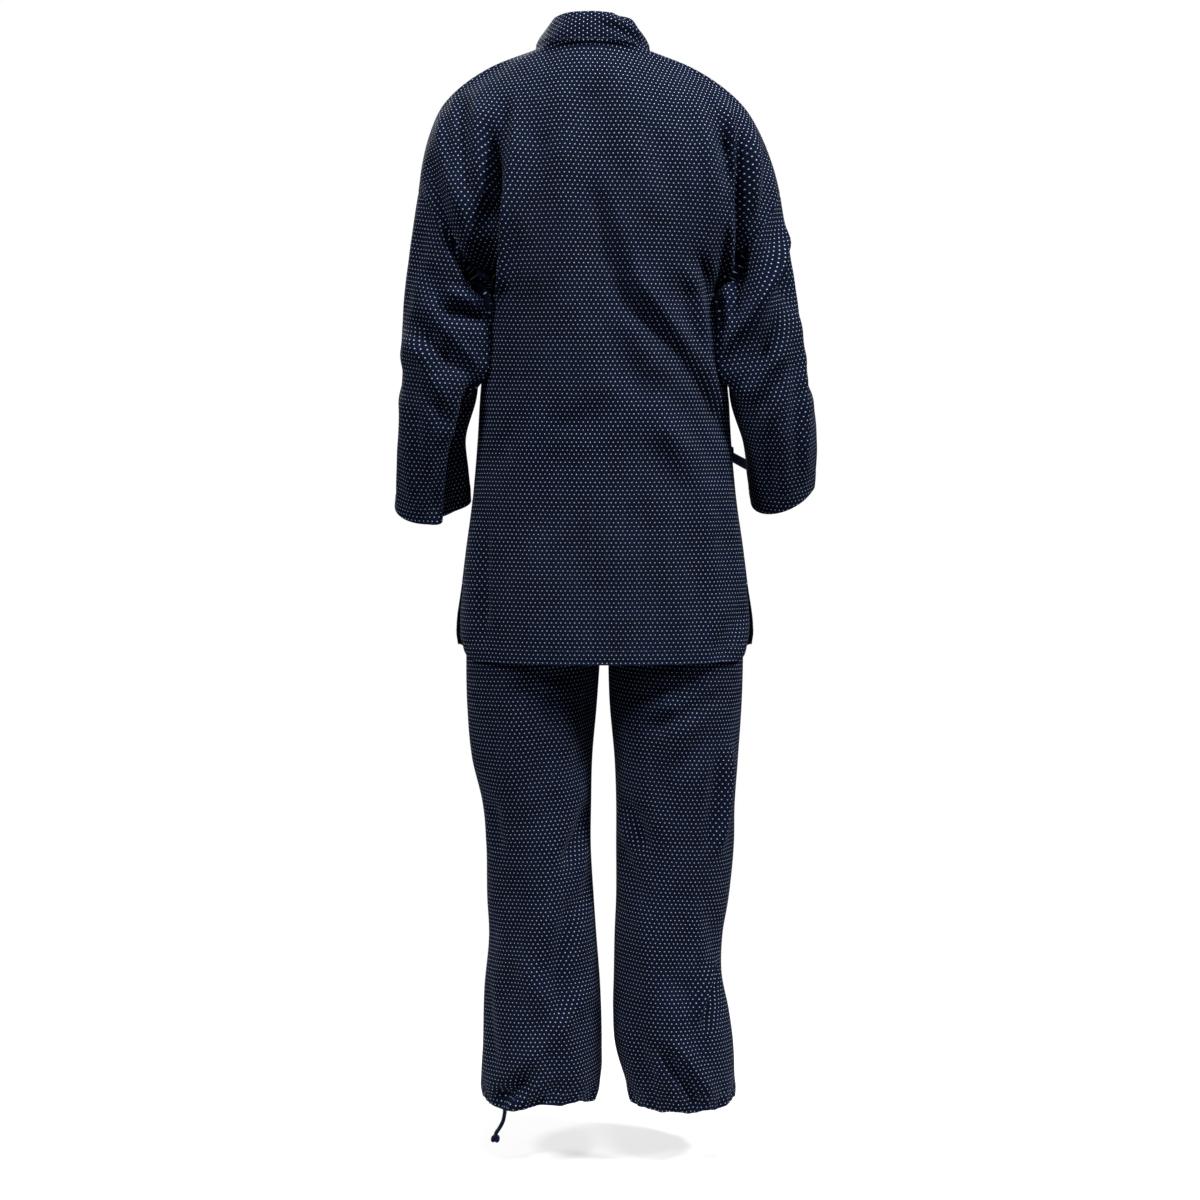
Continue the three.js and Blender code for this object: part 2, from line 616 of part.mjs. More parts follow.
/** Left front before it is moved out to its layer: columns from the armhole to the free edge. */
function frontRows() {
  const rows = [];
  for (let i = 0; i <= ARMHOLE_STEPS; i += 1) {
    rows.push(Array.from({ length: SHOULDER_STEPS + 1 }, (_, k) => (
      upperFront(1 - k / SHOULDER_STEPS, i / ARMHOLE_STEPS))));
  }
  for (const z of skirtLevels()) {
    const reach = ovalReach(TORSO, z, frontEdgeX(z));
    const seam = ovalReach(TORSO, z, Math.max(collarSeamX(z), COLLAR_SEAM_END_X));
    const steady = SHOULDER_STEPS - EDGE_COLUMNS;
    const inner = THREE.MathUtils.lerp(1, seam, steady / SHOULDER_STEPS);
    rows.push(Array.from({ length: SHOULDER_STEPS + 1 }, (_, k) => {
      const share = k <= steady
        ? THREE.MathUtils.lerp(1, inner, k / steady)
        : THREE.MathUtils.lerp(inner, reach, (k - steady) / EDGE_COLUMNS);
      return slitShift(oval(TORSO, z, share, false), share, false);
    }));
  }
  return rows;
}

/** How far the overlapping left side stands off the body at a point. */
function layerStep(point) {
  const half = column(TORSO, "half", point.z);
  const inwards = ramp(half - LAYER_SIDE_START, half - LAYER_SIDE_FULL, point.x);
  return LAYER_STEP * ramp(LAYER_TOP_Z, LAYER_FULL_Z, point.z) * inwards;
}

function liftLayer(grid) {
  grid.points.forEach((row, i) => row.forEach((point, j) => {
    point.addScaledVector(grid.normals[i][j], layerStep(point));
  }));
}

/** A sleeve: rings from the dropped seam to the cuff. */
function sleeveGrid(side) {
  const sections = SLEEVES[side];
  const sign = side === "left" ? 1 : -1;
  const count = 2 * ARMHOLE_STEPS;
  const rows = [];
  for (let i = 0; i <= SLEEVE_STEPS; i += 1) {
    const place = (i / SLEEVE_STEPS) * (sections.length - 1);
    rows.push(Array.from({ length: count }, (_, k) => {
      const point = sleevePoint(sections, place, (k / count) * 2 * Math.PI);
      return vec(sign * point.x, point.y, point.z);
    }));
  }
  return makeGrid(rows, (point) => {
    const z = Math.max(sections.at(-1).z, Math.min(sections[0].z, point.z));
    return vec(sign * column(sections, "x", z), column(sections, "y", z), point.z);
  }, true);
}

/** Depth of a front at x, z, read off its grid. */
function depthOn(grid, x, z) {
  const { points } = grid;
  for (let i = 0; i < points.length - 1; i += 1) {
    for (let j = 0; j < points[0].length - 1; j += 1) {
      const corners = [points[i][j], points[i + 1][j], points[i + 1][j + 1], points[i][j + 1]];
      for (const [a, b, c] of [[0, 1, 2], [0, 2, 3]].map((set) => set.map((k) => corners[k]))) {
        const area = (b.x - a.x) * (c.z - a.z) - (c.x - a.x) * (b.z - a.z);
        const v = ((x - a.x) * (c.z - a.z) - (c.x - a.x) * (z - a.z)) / area;
        const w = ((b.x - a.x) * (z - a.z) - (x - a.x) * (b.z - a.z)) / area;
        if (v >= 0 && w >= 0 && v + w <= 1) return a.y + v * (b.y - a.y) + w * (c.y - a.y);
      }
    }
  }
  return null;
}

/** Half of the collar: columns from the seam to the top edge, at each seam point from the nape down. */
function collarHalf(neckSeam, frontSeam, under, sign) {
  const place = (seam, top, roll) => Array.from({ length: BAND_COLUMNS + 1 }, (_, k) => {
    const share = k / BAND_COLUMNS;
    const point = seam.clone().lerp(top, share);
    const outward = point.clone().sub(vec(0, NECK_AXIS_Y, point.z)).normalize();
    return point.addScaledVector(outward, Math.sin(share * Math.PI) * roll);
  });
  const neck = neckSeam.map((seam, k) => {
    const top = neckTopCurve.getPoint(k / NECK_STEPS);
    return place(seam, top.setX(sign * top.x), COLLAR_ROLL);
  });
  const front = frontSeam.map((seam) => {
    const top = vec(seam.x + sign * column(BAND, "dx", seam.z), 0, seam.z + column(BAND, "dz", seam.z));
    const standing = ramp(COLLAR_LYING_Z, SHOULDER[0].z, seam.z);
    const level = Math.min(top.z, SHOULDER[0].z - 2);
    const below = under && depthOn(under, top.x, level);
    const lying = below ? below - LAYER_STEP : frontY(top.x, level) - COLLAR_LIFT;
    top.y = THREE.MathUtils.lerp(lying, seam.y - COLLAR_LEAN, standing);
    return place(seam, top, THREE.MathUtils.lerp(1, COLLAR_ROLL, standing));
  });
  return neck.concat(front);
}

/** Collar band, from its right end round the neck to its left end, on the seams of the body. */
function collarGrid(back, frontLeft, frontRight) {
  const nape = NECK_STEPS + SHOULDER_STEPS;
  const endRow = frontLeft.points.findIndex((row) => row[0].z < COLLAR_END_Z + 1);
  const seams = (front) => front.points.slice(1, endRow).map((row) => row.at(-1));
  const neck = (step) => Array.from({ length: NECK_STEPS + 1 }, (_, k) => back.points[0][nape + step * k]);
  const left = collarHalf(neck(1), seams(frontLeft), frontRight, 1);
  const right = collarHalf(neck(-1), seams(frontRight), null, -1);
  const rows = right.slice(1).reverse().concat(left);
  return makeGrid(rows, (point) => vec(0, NECK_AXIS_Y, point.z - 30));
}

/** How far the hips have parted into legs: 0 above the crotch and 1 below it. */
const parting = (z) => ramp(CROTCH_TOP_Z, CROTCH_Z, z);

/** One trouser panel, from the waist to the hem; columns from the centre seam and inseam to the side seam. */
function legGrid(side, back) {
  const sign = side === "left" ? 1 : -1;
  const rows = [];
  for (let i = 0; i <= LEG_STEPS; i += 1) {
    const z = THREE.MathUtils.lerp(WAIST_Z - WAISTBAND_HEIGHT - SEAM_GAP, TROUSER_HEM_Z, i / LEG_STEPS);
    rows.push(Array.from({ length: LEG_COLUMNS + 1 }, (_, k) => {
      const s = k / LEG_COLUMNS;
      const point = oval(HIPS, z, s, back).lerp(legPoint(LEGS[side], z, s, back), parting(z));
      gatherHem(point, column(LEGS[side], "x", z), column(LEGS[side], "y", z));
      return vec(sign * point.x, point.y, point.z);
    }));
  }
  return makeGrid(rows, (point) => vec(sign * LEG_AXIS.x * parting(point.z), LEG_AXIS.y, point.z));
}

/** Draws the hem in, in soft waves that the cord gathers. */
function gatherHem(point, centreX, centreY) {
  const near = ramp(TROUSER_HEM_Z + HEM_GATHER_HEIGHT, TROUSER_HEM_Z, point.z);
  if (near === 0) return;
  const angle = Math.atan2(point.y - centreY, point.x - centreX);
  const wave = Math.cos(angle * HEM_WAVES) * HEM_WAVE_DEPTH * near;
  point.x += Math.cos(angle) * wave;
  point.y += Math.sin(angle) * wave;
  point.z += Math.cos(angle * HEM_WAVES) * near * HEM_WAVE_LIFT;
}

/** Waistband: a ring round the hips from centre back over the left side and the front. */
function waistbandGeometry() {
  const quarter = LEG_COLUMNS;
  const shares = Array.from({ length: 4 * quarter }, (_, k) => {
    const phase = k / quarter;
    const back = phase <= 1 || phase >= 3;
    const share = back ? (phase <= 1 ? phase : phase - 4) : 2 - phase;
    return { back, share };
  });
  const rows = [0, 0.5, 1].map((drop) => (
    shares.map(({ share, back }) => oval(HIPS, WAIST_Z - drop * WAISTBAND_HEIGHT, share, back))));
  return wall(makeGrid(rows, levelAxis, true), COLLAR_CLOTH);
}

/** A flat band of cloth along a curve, its width upright where the curve runs level. */
function strap(curve) {
  const rows = Array.from({ length: STRAP_STEPS + 1 }, (_, i) => {
    const point = curve.getPoint(i / STRAP_STEPS);
    const tangent = curve.getTangent(i / STRAP_STEPS);
    const level = Math.hypot(tangent.x, tangent.y) > 0.4;
    const across = level ? vec(0, 0, 1) : vec(0.85, -0.5, 0);
    across.addScaledVector(tangent, -across.dot(tangent)).normalize();
    return [-0.5, 0, 0.5].map((share) => point.clone().addScaledVector(across, share * TIE_WIDTH));
  });
  return wall(makeGrid(rows, levelAxis), TIE_CLOTH);
}

/** A loop of the bow: out from the knot and back, its two plies apart by the swell. */
function bowLoop({ reachX, reachY, reachZ, swell }) {
  const reach = Math.hypot(reachX, reachY);
  const at = (share, side) => {
    const out = share + KNOT_REACH / reach;
    const x = KNOT.x + reachX * out - (reachY / reach) * side;
    const y = KNOT.y + reachY * out + (reachX / reach) * side;
    return vec(x, y, KNOT.z + reachZ * share);
  };
  const curve = new THREE.CatmullRomCurve3([
    at(0, 2.5), at(0.35, swell), at(0.75, swell + 1), at(1, 0),
    at(0.75, -swell), at(0.35, 1 - swell), at(0, -2.5),
  ], false, "centripetal");
  const rows = Array.from({ length: LOOP_STEPS + 1 }, (_, i) => {
    const point = curve.getPoint(i / LOOP_STEPS);
    return [-0.5, 0, 0.5].map((share) => point.clone().add(vec(0, 0, share * TIE_WIDTH)));
  });
  const middle = at(0.6, 0);
  return wall(makeGrid(rows, () => middle), TIE_CLOTH);
}

/** Front y of the outer cloth on the right side, where the side tie lies. */
const tieY = (x, z) => frontY(x, z) - LAYER_STEP - TIE_LIFT;

/** Stretch of the tie from the jacket's front edge to the knot. */
function frontStrap() {
  const points = [0, 0.33, 0.67].map((share) => {
    const x = THREE.MathUtils.lerp(FRONT_EDGE_X + 4, KNOT.x + KNOT_REACH, share);
    const z = THREE.MathUtils.lerp(COLLAR_END_Z - 2, KNOT.z, share);
    return vec(x, tieY(x, z), z);
  });
  points.push(vec(KNOT.x + KNOT_REACH, KNOT.y, KNOT.z));
  return strap(new THREE.CatmullRomCurve3(points, false, "centripetal"));
}

/** Stretch of the tie from the right side seam to the knot. */
function sideStrap() {
  const points = SIDE_STRAP_SHARES.map((share) => {
    const point = oval(TORSO, KNOT.z, -share, false);
    const outward = vec(point.x, point.y - column(TORSO, "side", KNOT.z), 0).normalize();
    return point.addScaledVector(outward, TIE_CLOTH + 1);
  });
  points.push(vec(KNOT.x - KNOT_REACH, KNOT.y + TIE_LIFT, KNOT.z));
  return strap(new THREE.CatmullRomCurve3(points, false, "centripetal"));
}

/** Knot: a drum with rounded shoulders, standing on its end. */
function knotGeometry(radius, height) {
  const outline = [[0, -0.5], [0.6, -0.5], [0.95, -0.25], [1, 0], [0.95, 0.25], [0.6, 0.5], [0, 0.5]];
  const profile = outline.map(([r, h]) => new THREE.Vector2(r * radius, h * height));
  const geometry = new THREE.LatheGeometry(profile, 12);
  return geometry.rotateX(Math.PI / 2);
}

/** Round cord along its route. */
function cordGeometry() {
  const points = CORD_ROUTE.map(([x, y, z]) => stand(vec(x, y, z)));
  const curve = new THREE.CatmullRomCurve3(points, false, "centripetal");
  const section = new THREE.Shape();
  for (let k = 0; k < CORD_SIDES; k += 1) {
    const angle = (k / CORD_SIDES) * 2 * Math.PI;
    const x = (CORD_DIAMETER / 2) * Math.cos(angle);
    const y = (CORD_DIAMETER / 2) * Math.sin(angle);
    if (k === 0) section.moveTo(x, y);
    else section.lineTo(x, y);
  }
  return new THREE.ExtrudeGeometry(section, { steps: CORD_STEPS, extrudePath: curve });
}

/** Shares normals along the collar's seam with the back and both fronts. */
function joinCollar(collar, back, frontLeft, frontRight) {
  const nape = (collar.points.length - 1) / 2;
  const centre = NECK_STEPS + SHOULDER_STEPS;
  const neckSeam = columnEdge(collar, 0, nape - NECK_STEPS, nape + NECK_STEPS);
  shareNormals(neckSeam, rowEdge(back, 0, centre - NECK_STEPS, centre + NECK_STEPS));
  const frontRows = nape - NECK_STEPS;
  shareNormals(columnEdge(collar, 0, nape + NECK_STEPS + 1), columnEdge(frontLeft, -1, 1, frontRows));
  shareNormals(columnEdge(collar, 0, nape - NECK_STEPS - 1, 0), columnEdge(frontRight, -1, 1, frontRows));
}

/** The jacket's body, sleeves and collar, with folds pressed in and seams parted. */
function jacketPieces() {
  const back = backGrid();
  const frontLeft = makeGrid(frontRows(), bodyAxis);
  const frontRight = makeGrid(mirrored(frontRows()), bodyAxis);
  const sleeves = { left: sleeveGrid("left"), right: sleeveGrid("right") };
  const width = back.points[0].length;
  const ring = 2 * ARMHOLE_STEPS;

  const joinSeams = () => {
    shareNormals(columnEdge(back, -1), columnEdge(frontLeft, 0));
    shareNormals(columnEdge(back, 0), columnEdge(frontRight, 0));
    const leftShoulder = rowEdge(back, 0, width - 1 - SHOULDER_STEPS, width - 1);
    shareNormals(leftShoulder, rowEdge(frontLeft, 0, SHOULDER_STEPS, 0));
    shareNormals(rowEdge(back, 0, SHOULDER_STEPS, 0), rowEdge(frontRight, 0, SHOULDER_STEPS, 0));
    for (const [sleeve, front, j] of [[sleeves.left, frontLeft, -1], [sleeves.right, frontRight, 0]]) {
      for (let pass = 0; pass < 2; pass += 1) {
        shareNormals(columnEdge(front, 0, 0, ARMHOLE_STEPS), rowEdge(sleeve, 0, ring, ARMHOLE_STEPS));
        shareNormals(columnEdge(back, j, 0, ARMHOLE_STEPS), rowEdge(sleeve, 0, 0, ARMHOLE_STEPS));
      }
    }
  };
  joinSeams();
  pressFolds(back, BACK_FOLDS, true);
  for (const front of [frontLeft, frontRight]) pressFolds(front, FRONT_FOLDS, false);
  for (const sleeve of Object.values(sleeves)) {
    pressFolds(sleeve, BACK_FOLDS.concat(SLEEVE_FOLDS), true);
    pressFolds(sleeve, FRONT_FOLDS, false);
  }
  [back, frontLeft, frontRight, sleeves.left, sleeves.right].forEach(findNormals);
  liftLayer(frontLeft);
  const collar = collarGrid(back, frontLeft, frontRight);
  joinSeams();
  joinCollar(collar, back, frontLeft, frontRight);

  trimColumn(back, 0, 1);
  trimColumn(back, -1, -1);
  for (const front of [frontLeft, frontRight]) {
    trimColumn(front, 0, 1);
    trimColumn(front, -1, -1);
  }
  for (const grid of [back, frontLeft, frontRight, sleeves.left, sleeves.right]) trimTop(grid);
  trimColumn(collar, 0, 1);
  return [
    piece("jacket_back", wall(back, CLOTH)),
    piece("jacket_front_left", wall(frontLeft, CLOTH)),
    piece("jacket_front_right", wall(frontRight, CLOTH)),
    piece("sleeve_left", wall(sleeves.left, CLOTH)),
    piece("sleeve_right", wall(sleeves.right, CLOTH)),
    piece("collar", wall(collar, COLLAR_CLOTH)),
  ];
}

/** The trousers' four panels and waistband. */
function trouserPieces() {
  const panels = {};
  for (const side of ["left", "right"]) {
    for (const back of [true, false]) {
      panels[`${side}_${back ? "back" : "front"}`] = legGrid(side, back);
    }
  }
  const joinSeams = () => {
    for (const side of ["left", "right"]) {
      shareNormals(columnEdge(panels[`${side}_back`], -1), columnEdge(panels[`${side}_front`], -1));
    }
    const crotchRow = panels.left_back.points.findIndex((row) => parting(row[0].z) >= 1);
    for (const side of ["left", "right"]) {
      const backEdge = columnEdge(panels[`${side}_back`], 0, crotchRow);
      shareNormals(backEdge, columnEdge(panels[`${side}_front`], 0, crotchRow));
    }
    for (const face of ["back", "front"]) {
      const leftEdge = columnEdge(panels[`left_${face}`], 0, 0, crotchRow - 1);
      shareNormals(leftEdge, columnEdge(panels[`right_${face}`], 0, 0, crotchRow - 1));
    }
  };
  joinSeams();
  for (const [name, grid] of Object.entries(panels)) {
    const back = name.endsWith("back");
    pressFolds(grid, back ? LEG_BACK_FOLDS : LEG_FRONT_FOLDS, back);
    findNormals(grid);
  }
  joinSeams();
  for (const grid of Object.values(panels)) {
    trimColumn(grid, 0, 1);
    trimColumn(grid, -1, -1);
  }
  const legs = Object.entries(panels).map(([name, grid]) => piece(`trouser_${name}`, wall(grid, CLOTH)));
  return [...legs, piece("waistband", waistbandGeometry())];
}

/** A tail of the bow, hanging from under the knot. */
function tail({ startX, startY, dx, dy, length }) {
  const top = KNOT.z - KNOT.height / 2 - KNOT_CLEARANCE;
  return strap(new THREE.CatmullRomCurve3([
    vec(KNOT.x + startX, KNOT.y + startY, top),
    vec(KNOT.x + startX, KNOT.y + startY, top - TAIL_DROP),
    vec(KNOT.x + dx * 0.7, KNOT.y + dy * 0.6, top - length * 0.35),
    vec(KNOT.x + dx, KNOT.y + dy, top - length * 0.7),
    vec(KNOT.x + dx * 1.1, KNOT.y + dy * 1.1, top - length),
  ]));
}

/** The side tie: its knot, the two stretches that hold the jacket shut, the bow's loops and its tails. */
function tiePieces() {
  const knot = piece("tie_knot", knotGeometry(KNOT.radius, KNOT.height), DARK_NAVY);
  knot.position.copy(stand(vec(KNOT.x, KNOT.y, KNOT.z)));
  return [
    knot,
    piece("tie_from_front", frontStrap(), DARK_NAVY),
    piece("tie_from_side", sideStrap(), DARK_NAVY),
    piece("tie_loop_outer", bowLoop(LOOP_OUTER), DARK_NAVY),
    piece("tie_loop_inner", bowLoop(LOOP_INNER), DARK_NAVY),
    ...TAILS.map((sizes) => piece(sizes.name, tail(sizes), DARK_NAVY)),
  ];
}

/** The drawcord's free end, hanging from the hem, and the knot at its tip. */
function cordPieces() {
  const knot = piece("hem_cord_knot", knotGeometry(CORD_KNOT.radius, CORD_KNOT.height), NAVY);
  const [x, y, z] = CORD_ROUTE.at(-1);
  knot.position.copy(stand(vec(x, y, z))).add(vec(1, 0, -CORD_KNOT.height / 2 - CORD_KNOT.below));
  return [piece("hem_cord", cordGeometry()), knot];
}

const samue = new THREE.Group();
samue.add(...jacketPieces(), ...trouserPieces(), ...tiePieces(), ...cordPieces());

export default samue;
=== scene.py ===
"""Looks of a worn, hollow samue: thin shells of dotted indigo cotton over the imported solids.

Sizes are in millimetres unless a name says otherwise. +Z is up, the front faces -Y, the wearer's left
is +X and the origin is at the nape. Meshes are made in metres.
"""

import logging
import math
from collections.abc import Callable, Sequence
from dataclasses import dataclass, field
from enum import Enum
from functools import partial
from typing import NamedTuple

import bpy
import numpy as np
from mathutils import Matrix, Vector


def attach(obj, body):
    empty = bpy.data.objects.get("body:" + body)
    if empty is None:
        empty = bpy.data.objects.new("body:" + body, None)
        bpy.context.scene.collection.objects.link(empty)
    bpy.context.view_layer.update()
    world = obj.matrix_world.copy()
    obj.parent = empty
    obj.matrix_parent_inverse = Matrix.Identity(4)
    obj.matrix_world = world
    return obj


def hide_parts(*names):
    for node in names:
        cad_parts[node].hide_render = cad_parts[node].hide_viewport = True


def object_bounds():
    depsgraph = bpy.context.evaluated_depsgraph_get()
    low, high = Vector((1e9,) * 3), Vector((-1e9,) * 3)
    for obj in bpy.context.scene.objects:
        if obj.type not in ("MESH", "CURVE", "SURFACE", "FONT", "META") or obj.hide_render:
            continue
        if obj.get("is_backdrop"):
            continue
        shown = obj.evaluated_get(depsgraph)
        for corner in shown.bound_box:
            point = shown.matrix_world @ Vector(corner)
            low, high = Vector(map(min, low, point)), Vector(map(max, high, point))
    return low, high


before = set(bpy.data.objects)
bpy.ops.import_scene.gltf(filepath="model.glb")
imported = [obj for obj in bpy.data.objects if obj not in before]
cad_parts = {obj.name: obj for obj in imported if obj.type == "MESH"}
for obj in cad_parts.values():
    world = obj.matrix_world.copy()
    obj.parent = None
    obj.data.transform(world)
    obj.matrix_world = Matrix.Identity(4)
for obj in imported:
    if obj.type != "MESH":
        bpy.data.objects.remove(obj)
CAD_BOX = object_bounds()

Array = np.ndarray
Edge = Callable[[Array], Array]
LOG = logging.getLogger("samue")
BODY = "root"
MM = 0.001
SEAM_GAP = 0.06
STEP_SLANT = 0.85
RIM_BEVEL = 0.45
RIM_ANGLE = 55
SHARP_ANGLE = 52
STITCH_LINE = 18
LEAST_FILL = 0.31
HANDS = {1: "left", -1: "right"}
PLUMB = np.array([0.0, 0.0, 1.0])


class Slot(Enum):
    """Kinds of cloth finish, passed along with the pieces."""

    CLOTH = "dotted_cloth"
    TIE = "tie_cloth"


class Side(Enum):
    """Which way a crease's cloth faces, or that its line is drawn on the flat cloth."""

    BACK = 1
    FRONT = -1
    FLAT = 0


# ---------------------------------------------------------------- small geometry


def ramp(start: float, end: float, value: Array | float) -> Array | float:
    """Smooth step.

    Args:
        start: Where it is 0.
        end: Where it is 1.
        value: What is measured.

    Returns:
        The step's height at each value.
    """
    share = np.clip((value - start) / (end - start), 0, 1)
    return share * share * (3 - 2 * share)


def mix(first: Array | float, second: Array | float, share: Array | float) -> Array | float:
    """Returns the value between two others at a share."""
    return first + (second - first) * share


def length_of(vectors: Array) -> Array:
    """Returns the lengths of vectors, with their last axis kept."""
    return np.linalg.norm(vectors, axis=-1, keepdims=True)


def unit(vectors: Array) -> Array:
    """Returns vectors scaled to length 1."""
    return vectors / np.maximum(length_of(vectors), 1e-9)


def stack(x: Array | float, y: Array | float, z: Array | float) -> Array:
    """Returns points from their coordinates."""
    return np.stack(np.broadcast_arrays(x, y, z), axis=-1).astype(float)


def running_length(points: Array, axis: int) -> Array:
    """Length along a grid of points from its first row or column.

    Args:
        points: Grid of points.
        axis: 0 measures down the columns and 1 along the rows.

    Returns:
        The length at each point.
    """
    steps = length_of(np.diff(points, axis=axis))[..., 0]
    start = np.zeros_like(np.take(steps, [0], axis=axis))
    return np.concatenate([start, np.cumsum(steps, axis=axis)], axis=axis)


def curve_through(points: Sequence[Sequence[float]] | Array, shares: Array) -> Array:
    """Centripetal curve through points.

    Args:
        points: Points that it passes.
        shares: Places on it, from 0 to 1, each stretch between two points as long as the others.

    Returns:
        A point for each share.
    """
    given = np.asarray(points, float)
    padded = np.vstack([2 * given[0] - given[1], given, 2 * given[-1] - given[-2]])
    place = np.clip(shares, 0, 1) * (len(given) - 1)
    first = np.minimum(place.astype(int), len(given) - 2)
    along = (place - first)[..., None]
    a, b, c, d = (padded[first + k] for k in range(4))
    before, here, after = (np.maximum(np.sqrt(length_of(q - p)), 1e-4) for p, q in ((a, b), (b, c), (c, d)))
    leave = ((b - a) / before - (c - a) / (before + here) + (c - b) / here) * here
    arrive = ((c - b) / here - (d - b) / (here + after) + (d - c) / after) * here
    square, cube = along**2, along**3
    bend = leave * (cube - 2 * square + along) + arrive * (cube - square)
    return b * (2 * cube - 3 * square + 1) + c * (3 * square - 2 * cube) + bend


@dataclass(frozen=True)
class Profile:
    """Sizes that change with height, read along smooth cubics through the rows.

    Attributes:
        names: Names of the columns, z first.
        rows: Rows from the top down.
    """

    names: str
    rows: tuple[tuple[float, ...], ...]

    def at(self, name: str, height: Array | float) -> Array:
        """Reads one column.

        Args:
            name: The column's name.
            height: Heights to read it at.

        Returns:
            The sizes there.
        """
        table = np.array(self.rows, float)
        levels, values = table[:, 0], table[:, self.names.split().index(name)]
        slopes = np.diff(values) / np.diff(levels)
        lean = np.concatenate([slopes[:1], (slopes[:-1] + slopes[1:]) / 2, slopes[-1:]])
        z = np.clip(height, levels[-1], levels[0])
        i = np.clip(np.searchsorted(-levels, -z, side="right") - 1, 0, len(levels) - 2)
        span = levels[i + 1] - levels[i]
        t = (z - levels[i]) / span
        ends = values[i] * (2 * t**3 - 3 * t**2 + 1) + values[i + 1] * (3 * t**2 - 2 * t**3)
        return ends + span * (lean[i] * (t**3 - 2 * t**2 + t) + lean[i + 1] * (t**3 - t**2))


class Crease(NamedTuple):
    """A soft trough, or a ridge where depth is negative, along a bowed line from x0, z0 to x1, z1.

    lean makes the side to the right of the line's way steeper, and a low sharp gives it a pinched bottom.
    """

    x0: float
    z0: float
    x1: float
    z1: float
    bow: float
    width: float
    depth: float
    lean: float = 0.0
    sharp: float = 2.0

    def depth_at(self, x: Array, z: Array) -> Array:
        """Depth of the crease.

        Args:
            x: Places across.
            z: Places up.

        Returns:
            How far the cloth is pressed in at each place.
        """
        run, rise = self.x1 - self.x0, self.z1 - self.z0
        length = math.hypot(run, rise)
        along = ((x - self.x0) * run + (z - self.z0) * rise) / length**2
        bowed = self.bow * 4 * along * (1 - along)
        off = (((x - self.x0) * rise - (z - self.z0) * run) / length - bowed) / self.width
        off = np.abs(off * (1 + self.lean * np.sign(off)))
        fade = ramp(-0.12, 0.22, along) * ramp(1.12, 0.78, along)
        trough = np.exp(-(off**self.sharp))
        flank = np.exp(-((off - 1.9) ** 2))
        return self.depth * fade * (trough - 0.3 * flank)


def creases(*rows: tuple[float, ...]) -> tuple[Crease, ...]:
    """Returns creases from rows of their numbers, in the order of a crease's fields."""
    return tuple(Crease(*row) for row in rows)


def unevenness(points: Array, size: float) -> Array:
    """Slow rise and fall of worn cloth.

    Args:
        points: Places on the cloth.
        size: Distance between rises.

    Returns:
        Heights from about -1 to 1.
    """
    x, y, z = (points[..., k] / size for k in range(3))
    bent = np.sin(1.7 * x + 0.6 * z) + np.sin(0.9 * z - 1.3 * y)
    return (np.sin(2.3 * x + bent) + np.sin(1.9 * z + 1.4 * bent) + np.sin(1.1 * (x + z) - 2 * y)) / 3


# ---------------------------------------------------------------- the figure inside


@dataclass(frozen=True)
class Figure:
    """The stance of the general figure that holds the cloth out."""

    sway: Profile = Profile("z x", ((60, 0), (-60, 0), (-200, -8), (-330, -13), (-600, -15), (-1500, -15.5)))
    tilt: float = 0.01
    tilt_fade: float = -420
    roundness: float = 0.85
    torso: Profile = Profile("z half back front side", (
        (-330, 152, 46, -190, -48), (-400, 159, 46, -188, -54), (-470, 165, 46, -184, -56),
        (-540, 170, 46, -183, -57), (-603, 176, 48, -185, -58), (-660, 183, 50, -188, -58),
        (-723, 189, 53, -191, -58), (-790, 193, 56, -195, -58), (-812, 189, 57, -196, -58),
    ))
    hips: Profile = Profile("z half back front side", (
        (-470, 143, 22, -150, -62), (-560, 153, 30, -160, -62), (-640, 164, 44, -162, -60),
        (-685, 169, 42, -161, -59), (-735, 173, 39, -158, -58), (-800, 178, 31, -152, -57),
    ))

    def stand(self, points: Array) -> Array:
        """Returns points moved with the figure's sway and its lower right shoulder."""
        moved = points.copy()
        moved[..., 2] += self.tilt * points[..., 0] * ramp(self.tilt_fade, 0, points[..., 2])
        moved[..., 0] += self.sway.at("x", points[..., 2])
        return moved

    def oval(self, form: Profile, height: Array, share: Array, side: Side) -> Array:
        """Worn oval section.

        Args:
            form: Torso or hips.
            height: Level of each point.
            share: 0 on the centre line and 1 or -1 at the sides.
            side: Back or front half.

        Returns:
            Points of the section.
        """
        angle = share * math.pi / 2
        edge = form.at("side", height)
        reach = form.at("back" if side is Side.BACK else "front", height) - edge
        across = np.sign(angle) * np.abs(np.sin(angle)) ** self.roundness
        depth = np.maximum(0, np.cos(angle)) ** self.roundness
        return stack(form.at("half", height) * across, edge + reach * depth, height)

    def side_x(self, form: Profile, y: Array, height: Array) -> Array:
        """Returns how far out an oval section's back half reaches at y."""
        edge = form.at("side", height)
        depth = np.clip((y - edge) / (form.at("back", height) - edge), 0, 1) ** (1 / self.roundness)
        return form.at("half", height) * np.sqrt(1 - depth**2) ** self.roundness

    def reach(self, form: Profile, height: Array, x: Array) -> Array:
        """Returns the share at which an oval section reaches x."""
        share = np.minimum(1, np.abs(x) / form.at("half", height))
        return np.sign(x) * np.arcsin(share ** (1 / self.roundness)) * 2 / math.pi


FIGURE = Figure()


# ---------------------------------------------------------------- cloth panels


